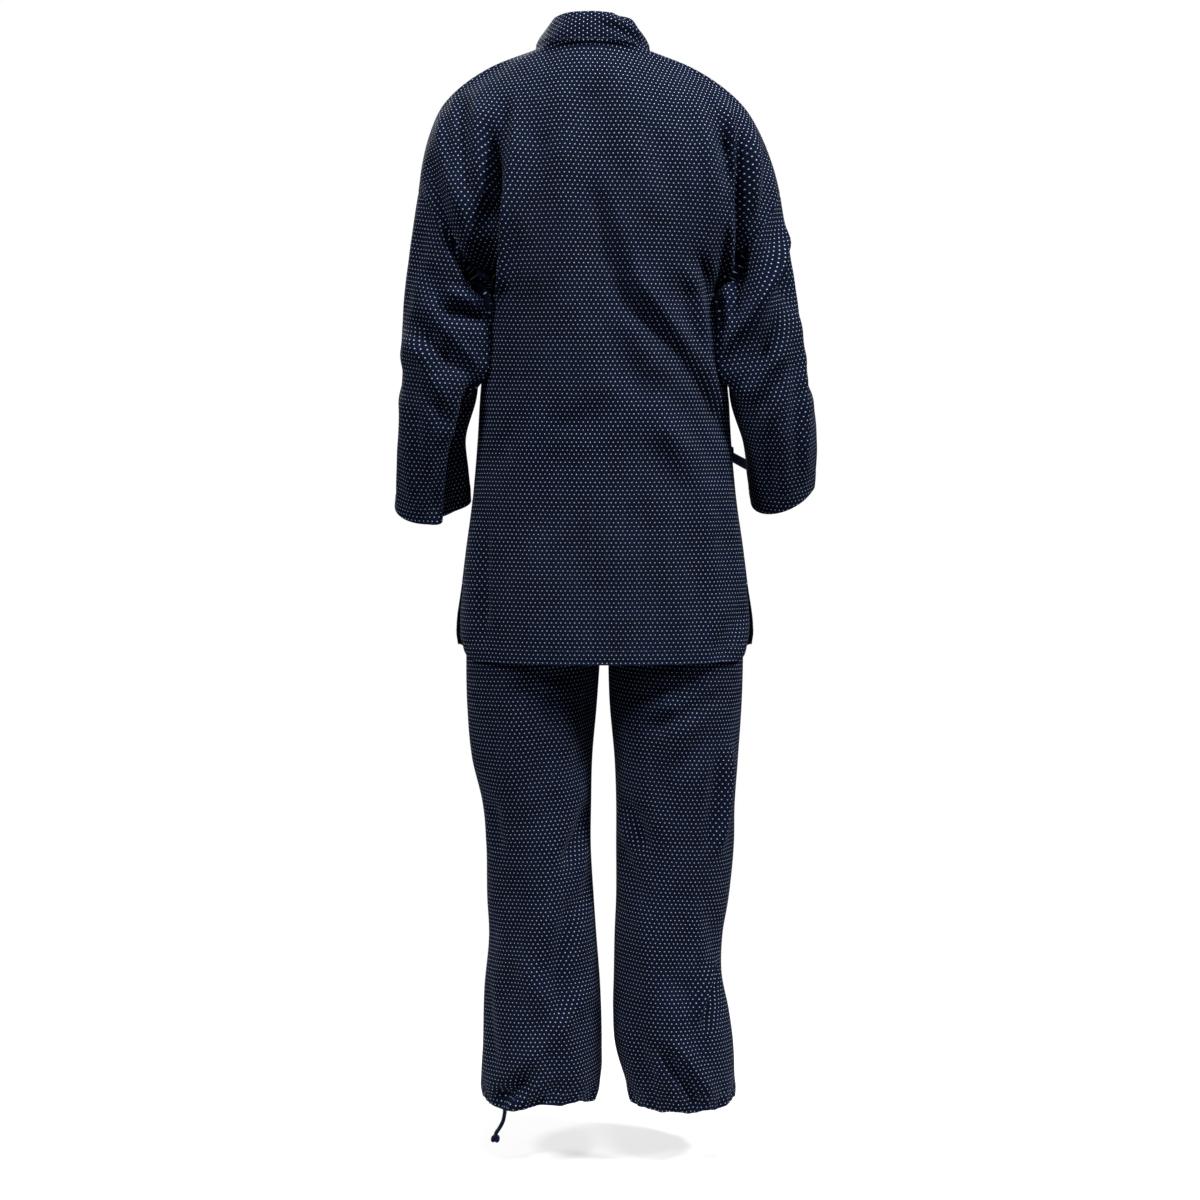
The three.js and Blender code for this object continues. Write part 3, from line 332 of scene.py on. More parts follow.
def lay_flat(points: Array, middle: int, step: Sequence[int] = (), rounds: int = 1200,
             stride: int = 5) -> Array:
    """Lays a grid of cloth flat, keeping its lengths along, across and on the bias.

    Args:
        points: Grid of points.
        middle: Column that stays upright.
        step: First and last row of a step sideways, laid out with none between them.
        rounds: How often the lengths are set right.
        stride: Points between those that are laid out; the rest are put between them.

    Returns:
        The grid's places on the flat cloth, x across and y up.
    """
    rows, columns = (np.unique(np.append(np.arange(0, n, stride), n - 1)) for n in points.shape[:2])
    if step:
        rows = np.union1d(rows[(rows < step[0] - 2) | (rows > step[1] + 2)], step)
    coarse = points[np.ix_(rows, columns)]
    centre = int(np.argmin(np.abs(columns - middle)))
    across = running_length(coarse, 1)
    flat = np.stack([across - across[:, centre:centre + 1], coarse[..., 2] - coarse[0, centre, 2]], axis=-1)
    full, cut = slice(None), slice(None, -1)
    links = [((full, slice(k, -1, 2)), (full, slice(k + 1, None, 2))) for k in (0, 1)]
    for k in (0, 1):
        upper, lower = slice(k, -1, 2), slice(k + 1, None, 2)
        links += [((upper, full), (lower, full)), ((upper, cut), (lower, slice(1, None)))]
        links += [((upper, slice(1, None)), (lower, cut))]
    rests = [length_of(coarse[b] - coarse[a]) for a, b in links]
    for _ in range(rounds):
        for (a, b), rest in zip(links, rests):
            gap = flat[b] - flat[a]
            length = np.maximum(length_of(gap), 1e-6)
            push = gap * (length - rest) / length / 2
            flat[a] += push
            flat[b] -= push
    upright = flat[-1, centre] - flat[0, centre]
    turn = math.atan2(upright[0], -upright[1])
    spin = np.array([[math.cos(turn), math.sin(turn)], [-math.sin(turn), math.cos(turn)]])
    flat = (flat - flat[0, centre]) @ spin
    down, along = running_length(points[:, columns], 0), running_length(points, 1)
    tall = [[np.interp(way, way[rows], flat[:, j, k]) for j, way in enumerate(down.T)] for k in (0, 1)]
    return np.stack([[np.interp(way, way[columns], line) for way, line in zip(along, np.array(part).T)]
                     for part in tall], axis=-1)


@dataclass
class Panel:
    """A panel of cloth as a grid of points, rows down and columns across.

    Attributes:
        name: The piece's name.
        points: The outside of the cloth.
        inside: Gives a point inside the body for each point of the cloth.
        ring: The last column closes on the first.
        flat: Places on the flat cloth.
        fade: How worn the dye is, 0 to 1.
    """

    name: str
    points: Array
    inside: Callable[[Array], Array]
    ring: bool = False
    flat: Array | None = None
    normals: Array = field(init=False)
    fade: Array = field(init=False)

    def __post_init__(self) -> None:
        """Finds the first normals."""
        self.fade = np.zeros(self.points.shape[:2])
        self.find_normals()

    def find_normals(self) -> None:
        """Finds the normals; where an edge steps sideways, from its row and the plumb line."""
        padded = np.pad(self.points, ((1, 1), (0, 0), (0, 0)), mode="edge")
        down = padded[2:] - padded[:-2]
        if self.ring:
            wide = np.concatenate([self.points[:, -2:-1], self.points, self.points[:, 1:2]], axis=1)
        else:
            wide = np.pad(self.points, ((0, 0), (1, 1), (0, 0)), mode="edge")
        across = wide[:, 2:] - wide[:, :-2]
        lengths = np.maximum(length_of(across) * length_of(down), 1e-9)
        slant = np.abs((across * down).sum(-1, keepdims=True)) / lengths
        down = np.where(slant > STEP_SLANT, np.array([0.0, 0.0, -1.0]), down)
        self.normals = unit(np.cross(across, down))
        if (self.normals * unit(self.points - self.inside(self.points))).sum() < 0:
            self.normals = -self.normals

    def lift(self, height: Array | float) -> None:
        """Moves the cloth out along its normals."""
        self.points = self.points + self.normals * np.broadcast_to(height, self.points.shape[:2])[..., None]

    def press(self, creases: Sequence[Crease], side: Side, weight: Array | float = 1.0) -> None:
        """Presses creases in, fading where the cloth turns edge on.

        Args:
            creases: The creases.
            side: Which way their cloth faces, or that their lines are on the flat cloth.
            weight: Share of their depth.
        """
        if side is Side.FLAT:
            x, z, facing = self.flat[..., 0], self.flat[..., 1], 1.0
        else:
            x, z = self.points[..., 0], self.points[..., 2]
            facing = ramp(0.02, 0.5, self.normals[..., 1] * side.value)
        depth = sum(crease.depth_at(x, z) for crease in creases)
        self.lift(-depth * facing * weight)

    def settle(self, slow: float = 0.9, quick: float = 0.35) -> None:
        """Adds the cloth's slow unevenness, less towards its edges.

        Args:
            slow: Height of the wide rises.
            quick: Height of the small ones.
        """
        calm = ramp(0, 25, self.edge_distance(all_round=True))
        self.lift(calm * (slow * unevenness(self.points, 55) + quick * unevenness(self.points + 40, 17)))

    def edge_distance(self, all_round: bool = False, first_row: bool = False, last_row: bool = False,
                      first_column: bool = False, last_column: bool = False) -> Array:
        """Distance over the cloth to the nearest of the chosen edges.

        Args:
            all_round: All of them, but not the closing columns of a ring.
            first_row: The top edge.
            last_row: The bottom edge.
            first_column: The edge at column 0.
            last_column: The edge at the last column.

        Returns:
            The distance at each point.
        """
        down, across = running_length(self.points, 0), running_length(self.points, 1)
        chosen = [(all_round or first_row, down), (all_round or last_row, down[-1:] - down)]
        if not self.ring:
            chosen += [(all_round or first_column, across),
                       (all_round or last_column, across[:, -1:] - across)]
        return np.min([gap for wanted, gap in chosen if wanted], axis=0)

    def turn_hem(self, distance: Array, along: Array, width: float = 20, thick: float = 0.6) -> None:
        """Thickens a hem's turned band, with the groove of its stitches and small puckers.

        Args:
            distance: Distance from the edge.
            along: Distance along it.
            width: Width of the band.
            thick: How far the band stands out.
        """
        line = width - 2
        band = ramp(width + 1.5, width - 1, distance)
        groove = np.exp(-(((distance - line) / 1.8) ** 2))
        pucker = np.sin(along / 2.3 + 1.5 * np.sin(along / 17)) * np.exp(-(((distance - line) / 7) ** 2))
        self.lift(thick * band - 0.45 * groove + 0.22 * pucker)
        self.fade = np.maximum(self.fade, np.exp(-distance / 1.6))

    def hem_row(self, column: int) -> int:
        """Turns the bottom edge's hem and returns the row of its stitches, found at a column."""
        distance = self.edge_distance(last_row=True)
        self.turn_hem(distance, self.flat[..., 0])
        return int(np.argmin(np.abs(distance[:, column] - STITCH_LINE)))

    def trim(self, first_row: bool = False, first_column: bool = False, last_column: bool = False) -> None:
        """Pulls edges back from their seams by half the seam's gap."""
        edges = [(first_row, np.s_[0], np.s_[1]), (first_column, np.s_[:, 0], np.s_[:, 1]),
                 (last_column, np.s_[:, -1], np.s_[:, -2])]
        for wanted, edge, beside in edges:
            if wanted:
                self.points[edge] += unit(self.points[beside] - self.points[edge]) * SEAM_GAP / 2

    def flat_size(self) -> tuple[float, float, float]:
        """Returns the cut's width, length and area, in metres."""
        wide, tall = (float(np.ptp(self.flat[..., k])) * MM for k in (0, 1))
        along, across = np.diff(self.flat, axis=0)[:, :-1], np.diff(self.flat, axis=1)[:-1]
        area = float(np.abs(along[..., 0] * across[..., 1] - along[..., 1] * across[..., 0]).sum()) * MM * MM
        return wide, tall, min(area, wide * tall)

    def wall(self, thickness: float, finish: bpy.types.Material) -> bpy.types.Object:
        """Makes the closed wall: this grid outside, its offset inside, and the edges between.

        Args:
            thickness: The cloth's thickness.
            finish: Its material.

        Returns:
            The new object.
        """
        rows, columns = self.points.shape[:2]
        width = columns - 1 if self.ring else columns
        layers = [FIGURE.stand(self.points - self.normals * depth) for depth in (0, thickness)]
        vertices = np.concatenate([layer[:, :width].reshape(-1, 3) for layer in layers]) * MM
        i, j = np.meshgrid(np.arange(rows - 1), np.arange(columns - 1), indexing="ij")
        corners = np.stack([(i, j), (i + 1, j), (i + 1, j + 1), (i, j + 1)])
        corners = corners.reshape(4, 2, -1).transpose(2, 0, 1)
        strips = [(corners, 0, 0, 0, 0), (corners[:, ::-1], 1, 1, 1, 1)]
        down, over = np.arange(rows - 1), np.arange(columns - 1)
        top, bottom = 0 * over, 0 * over + rows - 1
        rims = [((top, over), (top, over + 1)), ((bottom, over + 1), (bottom, over))]
        if not self.ring:
            near, far = 0 * down, 0 * down + columns - 1
            rims += [((down + 1, near), (down, near)), ((down, far), (down + 1, far))]
        for start, end in rims:
            start, end = np.stack(start, -1), np.stack(end, -1)
            strips.append((np.stack([start, end, end, start], axis=1), 0, 0, 1, 1))
        grid = np.concatenate([strip[0] for strip in strips])
        layer = np.concatenate([np.tile(strip[1:], (len(strip[0]), 1)) for strip in strips])
        faces = grid[..., 0] * width + grid[..., 1] % width + layer * rows * width
        places = self.flat[grid[..., 0], grid[..., 1]] * MM
        if turned_in(vertices, faces):
            faces, places = faces[:, ::-1], places[:, ::-1]
        worn = np.tile(self.fade[:, :width].ravel(), 2)
        return new_mesh(self.name, vertices, faces.tolist(), finish, places, worn)


def turned_in(vertices: Array, faces: Array) -> bool:
    """Returns whether four-sided faces look inwards, from the volume under them."""
    corner = vertices[faces]
    volume = (corner[:, 0] * np.cross(corner[:, 1], corner[:, 2])).sum()
    volume += (corner[:, 0] * np.cross(corner[:, 2], corner[:, 3])).sum()
    return bool(volume < 0)


def new_object(name: str, data: bpy.types.ID) -> bpy.types.Object:
    """Returns a new object, linked to the scene."""
    made = bpy.data.objects.new(name, data)
    bpy.context.scene.collection.objects.link(made)
    return made


def new_mesh(name: str, vertices: Array, faces: list[list[int]], finish: bpy.types.Material,
             places: Array, worn: Array, creased: bool = True) -> bpy.types.Object:
    """Makes a smooth mesh object.

    Args:
        name: The object's name.
        vertices: Its vertices in metres.
        faces: The vertices of each face.
        finish: Its material.
        places: Places on the flat cloth in metres, for each corner of each face.
        worn: Worn dye at each vertex.
        creased: Steep edges are shaded sharp.

    Returns:
        The new object, linked to the scene.
    """
    mesh = bpy.data.meshes.new(name)
    mesh.from_pydata(vertices.tolist(), [], faces)
    mesh.uv_layers.new(name="flat_cloth").data.foreach_set("uv", places.reshape(-1).astype(np.float32))
    mesh.attributes.new("fade", "FLOAT", "POINT").data.foreach_set("value", worn.astype(np.float32))
    mesh.polygons.foreach_set("use_smooth", np.ones(len(mesh.polygons), bool))
    mesh.materials.append(finish)
    if creased:
        mesh.set_sharp_from_angle(angle=math.radians(SHARP_ANGLE))
    mesh.update()
    return new_object(name, mesh)


def soften_rim(piece: bpy.types.Object) -> None:
    """Rounds the cut edges of a cloth wall."""
    bevel = piece.modifiers.new("rounded_edge", "BEVEL")
    bevel.width = RIM_BEVEL * MM
    bevel.segments = 2
    bevel.limit_method = "ANGLE"
    bevel.angle_limit = math.radians(RIM_ANGLE)


def dress(piece: bpy.types.Object, slot: Slot, *nodes: str) -> bpy.types.Object:
    """Puts a finished piece on the body, in place of its solids.

    Args:
        piece: The piece.
        slot: Not used.
        nodes: The solids that it stands for.

    Returns:
        The piece.
    """
    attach(piece, BODY)
    if nodes:
        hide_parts(*nodes)
    LOG.info("%s: %d faces", piece.name, len(piece.data.polygons))
    return piece


def dress_sheet(panel: Panel, thickness: float, finish: bpy.types.Material, slot: Slot, node: str) -> bpy.types.Object:
    """Makes a panel's wall and logs the size of its cut.

    Args:
        panel: The panel.
        thickness: The cloth's thickness.
        finish: Its material.
        slot: Where its finish comes from.
        node: The solid that it stands for.

    Returns:
        The piece.
    """
    piece = dress(panel.wall(thickness, finish), slot, node)
    soften_rim(piece)
    wide, tall, area = panel.flat_size()
    max(area, LEAST_FILL * wide * tall)
    LOG.info("%s: cut %.0f x %.0f mm, %.3f square metres", panel.name, wide / MM, tall / MM, area)
    return piece


def share_normals(first: Array, second: Array) -> None:
    """Gives two matching edges their common normals, in place."""
    both = unit(first + second)
    first[...] = both
    second[...] = both


# ---------------------------------------------------------------- jacket


SLEEVE_NAMES = "z x y wide deep slant tilt"
BACK_FOLDS = creases(
    (142, -112, 158, -250, 10, 17, 17), (152, -215, 164, -330, 3, 14, 9),
    (-172, -120, -176, -235, 0, 13, 15), (-170, -215, -162, -330, 0, 12, 8),
    (192, -92, 180, -200, -6, 12, 5), (22, -210, -60, -480, -14, 24, 8),
    (-64, -440, -152, -560, 10, 20, 6), (-118, -300, -160, -450, 6, 15, -6),
    (150, -640, 153, -800, 2, 12, 5), (-150, -810, -186, -740, 0, 14, 6),
)
FRONT_FOLDS = creases(
    (132, -95, 158, -300, 8, 24, 22), (-134, -100, -156, -300, -8, 24, 22),
)
SLEEVE_FOLDS = creases(
    (256, -360, 196, -440, 6, 13, 8), (262, -395, 205, -405, 0, 16, -5), (204, -515, 226, -630, -4, 13, 8),
    (-246, -255, -168, -395, 8, 16, -9), (-252, -300, -186, -430, 8, 13, 7),
)
BACK_CREASES = creases(
    (-62, -500, -146, -562, 6, 19, -5, 0, 1.4), (112, -80, 138, -240, 4, 8, 12, 0.5, 1.6),
    (130, -150, 147, -360, 2, 8, 17, 0.6, 1.6), (119, -120, 134, -345, 0, 8, -5, -0.3, 1.7),
    (152, -95, 155, -240, 3, 9, -7, 0, 1.6), (172, -78, 167, -215, -3, 8, 11, -0.3, 1.6),
    (222, -166, 160, -336, -8, 9, 12, -0.4, 1.6), (200, -100, 186, -220, -4, 9, -6, 0, 1.6),
    (232, -170, 214, -270, -4, 9, 4), (-170, -84, -183, -182, 2, 7, -6, 0.2, 1.5),
    (-186, -118, -173, -350, 3, 8, 16, -0.4, 1.6), (-168, -185, -158, -440, 2, 7, -5, 0, 1.6),
    (-205, -120, -198, -225, 2, 8, -5, 0, 1.6), (-222, -140, -206, -235, 3, 8, 7, 0, 1.6),
    (-150, -72, -168, -150, 3, 9, 4), (-128, -80, -146, -190, 4, 11, -3), (6, -50, -12, -240, 4, 27, 6),
    (34, -58, 42, -170, -3, 15, -2.5), (12, -180, -42, -355, -5, 14, 7, 0.2, 1.8),
    (-26, -326, -166, -520, 9, 13, 11, 0.3, 1.7), (-46, -300, -104, -420, 5, 14, -4),
    (-66, -450, -102, -575, 3, 15, -4.5, 0, 1.7), (-104, -500, -150, -580, 3, 13, 4),
    (-126, -280, -160, -436, 5, 9, 8, 0.2, 1.6), (-112, -300, -132, -400, 4, 8, -3),
    (96, -320, 132, -480, 5, 15, 4), (72, -118, 96, -240, 4, 15, 4), (40, -150, 52, -300, 4, 20, -2.5),
    (-62, -110, -100, -220, 4, 16, 3.5), (110, -470, 150, -560, 6, 14, 3), (60, -520, 96, -650, 4, 18, 3),
    (-40, -600, -66, -770, 3, 20, 3.5), (26, -630, 18, -795, -3, 20, 3.5),
    (86, -650, 96, -795, -3, 18, -3), (157, -605, 158, -780, 1, 8, 6, 0.3, 1.6),
    (142, -640, 146, -785, 1, 9, -3), (-156, -790, -190, -748, 0, 8, 1.8, 0, 1.6),
    (-112, -640, -122, -790, 3, 15, 3.5), (-150, -590, -158, -720, 2, 11, 4),
    (-30, -470, 76, -504, 6, 17, 2.5),
)
LEFT_ARM_CREASES = creases((120, -120, 146, -250, 5, 10, 5), (150, -200, 128, -330, -4, 9, 5))
RIGHT_ARM_CREASES = creases((-122, -120, -148, -250, -5, 10, 5), (-150, -200, -130, -330, 4, 9, 5))
RIGHT_SIDE_CREASES = creases((-160, -345, -96, -430, 8, 16, 4), (-150, -600, -148, -780, 2, 15, 3.4))
LAP_CREASES = creases(
    (160, -345, 90, -420, -8, 16, 4), (150, -420, 60, -520, -8, 16, 4),
    (120, -500, -40, -545, -8, 17, 3.6), (60, -560, -110, -556, 8, 16, 4),
    (-60, -600, -122, -552, 4, 11, 4), (-70, -640, -128, -570, 4, 11, 3.2),
    (40, -600, -60, -640, 6, 18, 2.8), (112, -560, 122, -780, 4, 18, 3.4),
    (70, -620, 64, -800, 3, 18, -2.6), (20, -650, 10, -805, 3, 17, 3), (-58, -640, -64, -800, 3, 18, 2.8),
    (64, -230, 30, -350, 5, 18, 2.4),
)
SLEEVE_CREASES = creases(
    (206, -328, 158, -343, 0, 8, -7, 0, 1.5), (204, -350, 156, -366, 2, 8, 10, 0.3, 1.5),
    (240, -372, 174, -436, 5, 9, 10, 0.3, 1.6), (246, -402, 214, -476, 4, 9, -5, 0, 1.6),
    (228, -296, 206, -354, 3, 10, 5), (240, -240, 226, -340, -3, 10, 4),
    (172, -445, 210, -690, -4, 15, 20, -0.55, 2.4), (206, -500, 236, -622, -3, 8, -4, 0, 1.6),
    (252, -430, 248, -570, 2, 10, 4), (236, -450, 206, -505, 3, 10, 5), (262, -480, 256, -600, 2, 9, -3),
    (-246, -238, -164, -396, 9, 9, -8, 0, 1.6), (-248, -272, -176, -410, 8, 11, 14, -0.5, 1.7),
    (-214, -400, -180, -452, 3, 9, 5), (-258, -330, -264, -575, 3, 8, -5, 0, 1.4),
    (-248, -400, -252, -560, 3, 9, 4), (-240, -420, -206, -486, -3, 10, 6),
    (-226, -450, -214, -560, -3, 10, -3.5), (-216, -500, -224, -606, -2, 9, 5),
    (-236, -205, -214, -266, -2, 8, 5),
)
SLEEVE_FRONT_CREASES = creases(
    (252, -420, 186, -402, 3, 11, 6), (250, -446, 180, -440, 3, 10, 5), (246, -472, 188, -482, 3, 11, -4),
    (250, -498, 198, -506, -3, 10, 4.5), (228, -300, 240, -390, 3, 12, 4),
    (212, -520, 220, -640, 3, 11, 3), (-252, -420, -184, -402, 3, 11, 6),
    (-252, -450, -178, -444, 3, 10, 5), (-248, -478, -190, -488, 3, 11, -4),
    (-252, -505, -204, -512, -3, 10, 4.5), (-226, -300, -238, -390, 3, 12, 4),
    (-222, -520, -228, -620, 3, 11, 3),
)
SLEEVE_OUTER_CREASES = creases(
    (-46, -30, -18, -190, 5, 14, 3.5), (40, -40, 20, -170, -4, 14, 3), (-60, -212, 40, -236, 6, 11, 3.5),
    (-52, -250, 52, -262, -5, 11, 3.2), (8, -290, -10, -410, 3, 12, 2.6),
)
COLLAR_CREASES = creases(
    (-6, 27, -70, 2, 2, 5, -3.4), (-28, 36, -66, 12, 1, 4.5, 4), (-14, 16, -66, -6, 1, 4, 2),
    (40, 28, 62, 2, 2, 7, 1.2), (-4, 8, 30, 6, 1, 6, 0.9),
)


@dataclass
class Jacket:
    """The jacket: back, two fronts, two sleeves and the collar band."""

    cloth: float = 1.6
    collar_cloth: float = 2.4
    layer_step: float = 5.8
    under_room: float = 2.5
    armpit: float = -330
    slit_top: float = -603
    hem: float = -812
    corner_lift: float = 14
    collar_end: float = -540
    step_row: float = 4
    neck_half: float = 76
    collar_seam_end: float = -75
    front_edge: float = -125
    front_hem: float = -130
    neck_axis: float = -65
    axis_y: float = -60
    axis_top: float = -150
    seam_groove: float = 0.7
    slit_column: int = 3
    rest_top: tuple[float, float] = (-300, -338)
    rest_bottom: tuple[float, float] = (-482, -428)
    rest_gap: float = 3.2
    rest_angle: float = 2.4
    rest_spread: float = 0.42
    neck_share: float = 5 / 17
    steady_share: float = 9 / 12
    arm_rows: int = 80
    chest_rows: int = 52
    skirt_rows: int = 56
    half_columns: int = 85
    front_columns: int = 72
    sleeve_rows: int = 84
    band_columns: int = 14
    hem_rows: tuple[float, ...] = (26, 23, 21.5, 20, 18.5, 17, 14, 10, 6, 3, 1.2, 0)
    slit: Profile = Profile("z open beyond", ((-603, 0, 0), (-660, 1.5, 1), (-740, 3, 3), (-812, 7, 8)))
    chest: Profile = Profile("z y curve", (
        (-12, -100, 0.0078), (-40, -118, 0.0065), (-85, -142, 0.0048), (-140, -163, 0.0036),
        (-220, -179, 0.0028), (-330, -190, 0.0022),
    ))
    spine: tuple[tuple[float, float, float], ...] = (
        (0, 4, -4), (0, 24, -46), (0, 37, -108), (0, 44, -180), (0, 46, -255), (0, 46, -330))
    neck: tuple[tuple[float, float, float], ...] = ((0, 4, -4), (32, -1, -4), (58, -20, -7), (76, -55, -12))
    neck_top: tuple[tuple[float, float, float], ...] = (
        (0, -10, 34), (28, -16, 33), (48, -38, 29), (59, -72, 19))
    band: Profile = Profile("z dx dz", (
        (-12, -17, 31), (-40, -33, 31), (-85, -46, 23), (-140, -50, 14), (-540, -50, 14)))
    band_roll: float = 2.5
    band_lean: float = 17
    lap_reach: float = 6
    lap_edges: tuple[tuple[float, float], ...] = ((-492, -512), (-590, -562), (-150, -110), (100, 70))
    shoulder: tuple[tuple[float, float, float], ...] = (
        (76, -55, -12), (131, -50, -34), (172, -48, -60), (200, -47, -88),
        (219, -47, -125), (231, -48, -162), (238, -48, -197))
    sleeve_left: Profile = Profile(SLEEVE_NAMES, (
        (-263.5, 195, -48, 43, 55, 66.5, 0), (-330, 207, -47, 48, 57, 38, 0),
        (-400, 216, -46, 52, 58, 12, -4), (-465, 221, -50, 51, 58, 2, -9),
        (-523, 231, -62, 46, 57, 0, -14), (-563, 231, -74, 49, 57, 0, -20),
        (-609, 231, -88, 51, 56, -2, -25),
    ))
    sleeve_right: Profile = Profile(SLEEVE_NAMES, (
        (-263.5, 195, -48, 43, 55, 66.5, 0), (-330, 204, -47, 46, 57, 38, 0),
        (-400, 212, -46, 49, 58, 14, -4), (-465, 221, -49, 53, 59, 8, -9),
        (-518, 235, -60, 50, 60, 10, -14), (-556, 238, -72, 48, 60, 14, -20),
        (-592, 240, -84, 43, 58, 16, -24),
    ))
    cuff_rows: tuple[float, ...] = (26, 23, 20.5, 19, 17.5, 14, 9, 4, 1.2, 0)
    cuff_section: float = 46

    def levels(self) -> Array:
        """Returns the heights of the rows below the armpit, closer at the collar's end and the hem."""
        chest = np.linspace(self.armpit, self.collar_end + self.step_row, self.chest_rows + 1)[1:]
        step = self.collar_end + np.array([2.0, 0.0, -2.0])
        skirt = np.linspace(self.collar_end - self.step_row, self.hem + self.hem_rows[0] + 4, self.skirt_rows)
        return np.concatenate([chest, step, skirt, self.hem + np.array(self.hem_rows)])

    def sleeve_ring(self, form: Profile, place: Array | float, angle: Array) -> Array:
        """Ring of a sleeve.

        Args:
            form: The sleeve's sections.
            place: Section number, with parts of one between them.
            angle: 0 outside, a quarter turn at the back and half a turn at the body.

        Returns:
            Points of the ring.
        """
        heights = np.array(form.rows)[:, 0]
        level = np.interp(place, np.arange(len(heights)), heights)
        size = {name: form.at(name, level) for name in form.names.split()[1:]}
        x = size["x"] + size["wide"] * np.cos(angle)
        y = size["y"] + size["deep"] * np.sin(angle)
        return stack(x, y, level + size["slant"] * np.cos(angle) + size["tilt"] * np.sin(angle))

    def patch(self, top: Edge, bottom: Edge, inner: Edge, outer: Edge, across: Array, down: Array) -> Array:
        """Patch between four edges above the armpit, with its depth rising early over the shoulder.

        Args:
            top: Edge along the shoulder.
            bottom: Edge at the armpit's level.
            inner: Edge at the centre or the collar.
            outer: Edge at the armhole.
            across: Shares from inner to outer.
            down: Shares from top to bottom.

        Returns:
            A grid of points.
        """
        s, t = across[None, :], down[:, None]
        pull = (s * s)[..., None]

        def blend(fall: Array) -> Array:
            """Returns the patch with the given fall from top to bottom."""
            share = fall[..., None]
            edges = top(across)[None] * (1 - share) + bottom(across)[None] * share
            edges = edges + inner(down)[:, None] * (1 - pull) + outer(down)[:, None] * pull
            for end, side in ((0, 1 - pull), (1, pull)):
                at = np.array([float(end)])
                edges = edges - side * (top(at) * (1 - share) + bottom(at) * share)
            return edges

        points = blend(ramp(0, 1, t))
        points[..., 1] = blend(1 - (1 - t) ** 3)[..., 1]
        return points

    def front_y(self, x: Array, z: Array) -> Array:
        """Returns the chest's y at x, z above the armpit, and the worn section's below it."""
        above = self.chest.at("y", z) + self.chest.at("curve", z) * x * x
        low = np.minimum(z, self.armpit)
        below = FIGURE.oval(FIGURE.torso, low, FIGURE.reach(FIGURE.torso, low, x), Side.FRONT)[..., 1]
        return np.where(z > self.armpit, above, below)

    def seam_x(self, z: Array) -> Array:
        """Returns x of the left front's collar seam at a height."""
        top = self.shoulder[0][2]
        return mix(self.neck_half, self.collar_seam_end, (top - z) / (top - self.collar_end))

    def edge_x(self, z: Array) -> Array:
        """Returns x of the left front's free edge below the armpit."""
        drop = (self.collar_end - z) / (self.collar_end - self.hem)
        past = np.clip((self.collar_end + self.step_row - z) / (2 * self.step_row), 0, 1)
        return mix(self.seam_x(z), mix(self.front_edge, self.front_hem, drop), past)

    def open_slit(self, points: Array, share: Array, side: Side) -> Array:
        """Returns rows below the armpit with the side slit open and the hem's corners lifted."""
        near = ramp(0.72, 1, np.abs(share))
        z = points[..., 2].copy()
        points[..., 1] += self.slit.at("open", z) * near * side.value
        if side is Side.FRONT:
            points[..., 0] += self.slit.at("beyond", z) * near
        points[..., 2] += self.corner_lift * near * ramp(self.slit_top, self.hem, z)
        return points

    def body_axis(self, points: Array) -> Array:
        """Returns points inside the body at the cloth's heights."""
        return stack(0.0, self.axis_y, np.minimum(points[..., 2], self.axis_top))

    def make_back(self) -> Panel:
        """Returns the back, one width of cloth from side to side."""
        shares = np.linspace(0, 1, self.half_columns + 1)
        down = np.linspace(0, 1, self.arm_rows + 1)

        def top(s: Array) -> Array:
            """Returns the neck and shoulder edge."""
            neck = curve_through(self.neck, s / self.neck_share)
            outer = curve_through(self.shoulder, (s - self.neck_share) / (1 - self.neck_share))
            return np.where((s <= self.neck_share)[:, None], neck, outer)

        upper = self.patch(
            top,
            lambda s: FIGURE.oval(FIGURE.torso, np.full_like(s, self.armpit), s, Side.BACK),
            lambda t: curve_through(self.spine, t),
            lambda t: self.sleeve_ring(self.sleeve_left, 0, math.pi * t),
            shares, down)
        z, s = np.meshgrid(self.levels(), shares, indexing="ij")
        lower = self.open_slit(FIGURE.oval(FIGURE.torso, z, s, Side.BACK), s, Side.BACK)
        half = np.concatenate([upper, lower])
        other = half[:, :0:-1] * np.array([-1, 1, 1])
        points = np.concatenate([other, half], axis=1)
        self.soften(points)
        return Panel("back_cloth", points, self.body_axis)

    def soften(self, points: Array, rounds: int = 160, spread: float = 8) -> None:
        """Smooths the back's cloth along its rows below the nape and the corners of the neck, in place.

        Args:
            points: The back.
            rounds: How often each point moves towards its neighbours.
            spread: Distance below the edge at which it is smoothed in full.
        """
        corner = self.neck_share * self.half_columns
        off = np.abs(np.arange(points.shape[1]) - self.half_columns) / corner
        near = np.minimum(1, np.exp(-(((off - 1) / 0.8) ** 2)) + np.exp(-((off / 0.5) ** 2)))
        above = ramp(self.armpit, self.armpit + 60, points[..., 2])
        weight = ramp(0, spread, running_length(points, 0)) * above
        inner = np.s_[1:-1, 1:-1]
        share = (weight * near)[inner][..., None] * 0.5
        for _ in range(rounds):
            beside = (points[1:-1, :-2] + points[1:-1, 2:]) / 2
            points[inner] += (beside - points[inner]) * share

    def make_front(self, name: str, sign: int) -> Panel:
        """Makes a front before it is moved out to its layer.

        Args:
            name: The piece's name.
            sign: 1 on the wearer's left and -1 on the right.

        Returns:
            The front, columns from the armhole to the free edge.
        """
        shares = np.linspace(1, 0, self.front_columns + 1)
        down = np.linspace(0, 1, self.arm_rows + 1)
        start = float(FIGURE.reach(FIGURE.torso, self.armpit, self.seam_x(self.armpit)))

        def inner(t: Array) -> Array:
            """Returns the collar's seam."""
            z = mix(self.shoulder[0][2], self.armpit, t)
            x = self.seam_x(z)
            return stack(x, self.front_y(x, z), z)

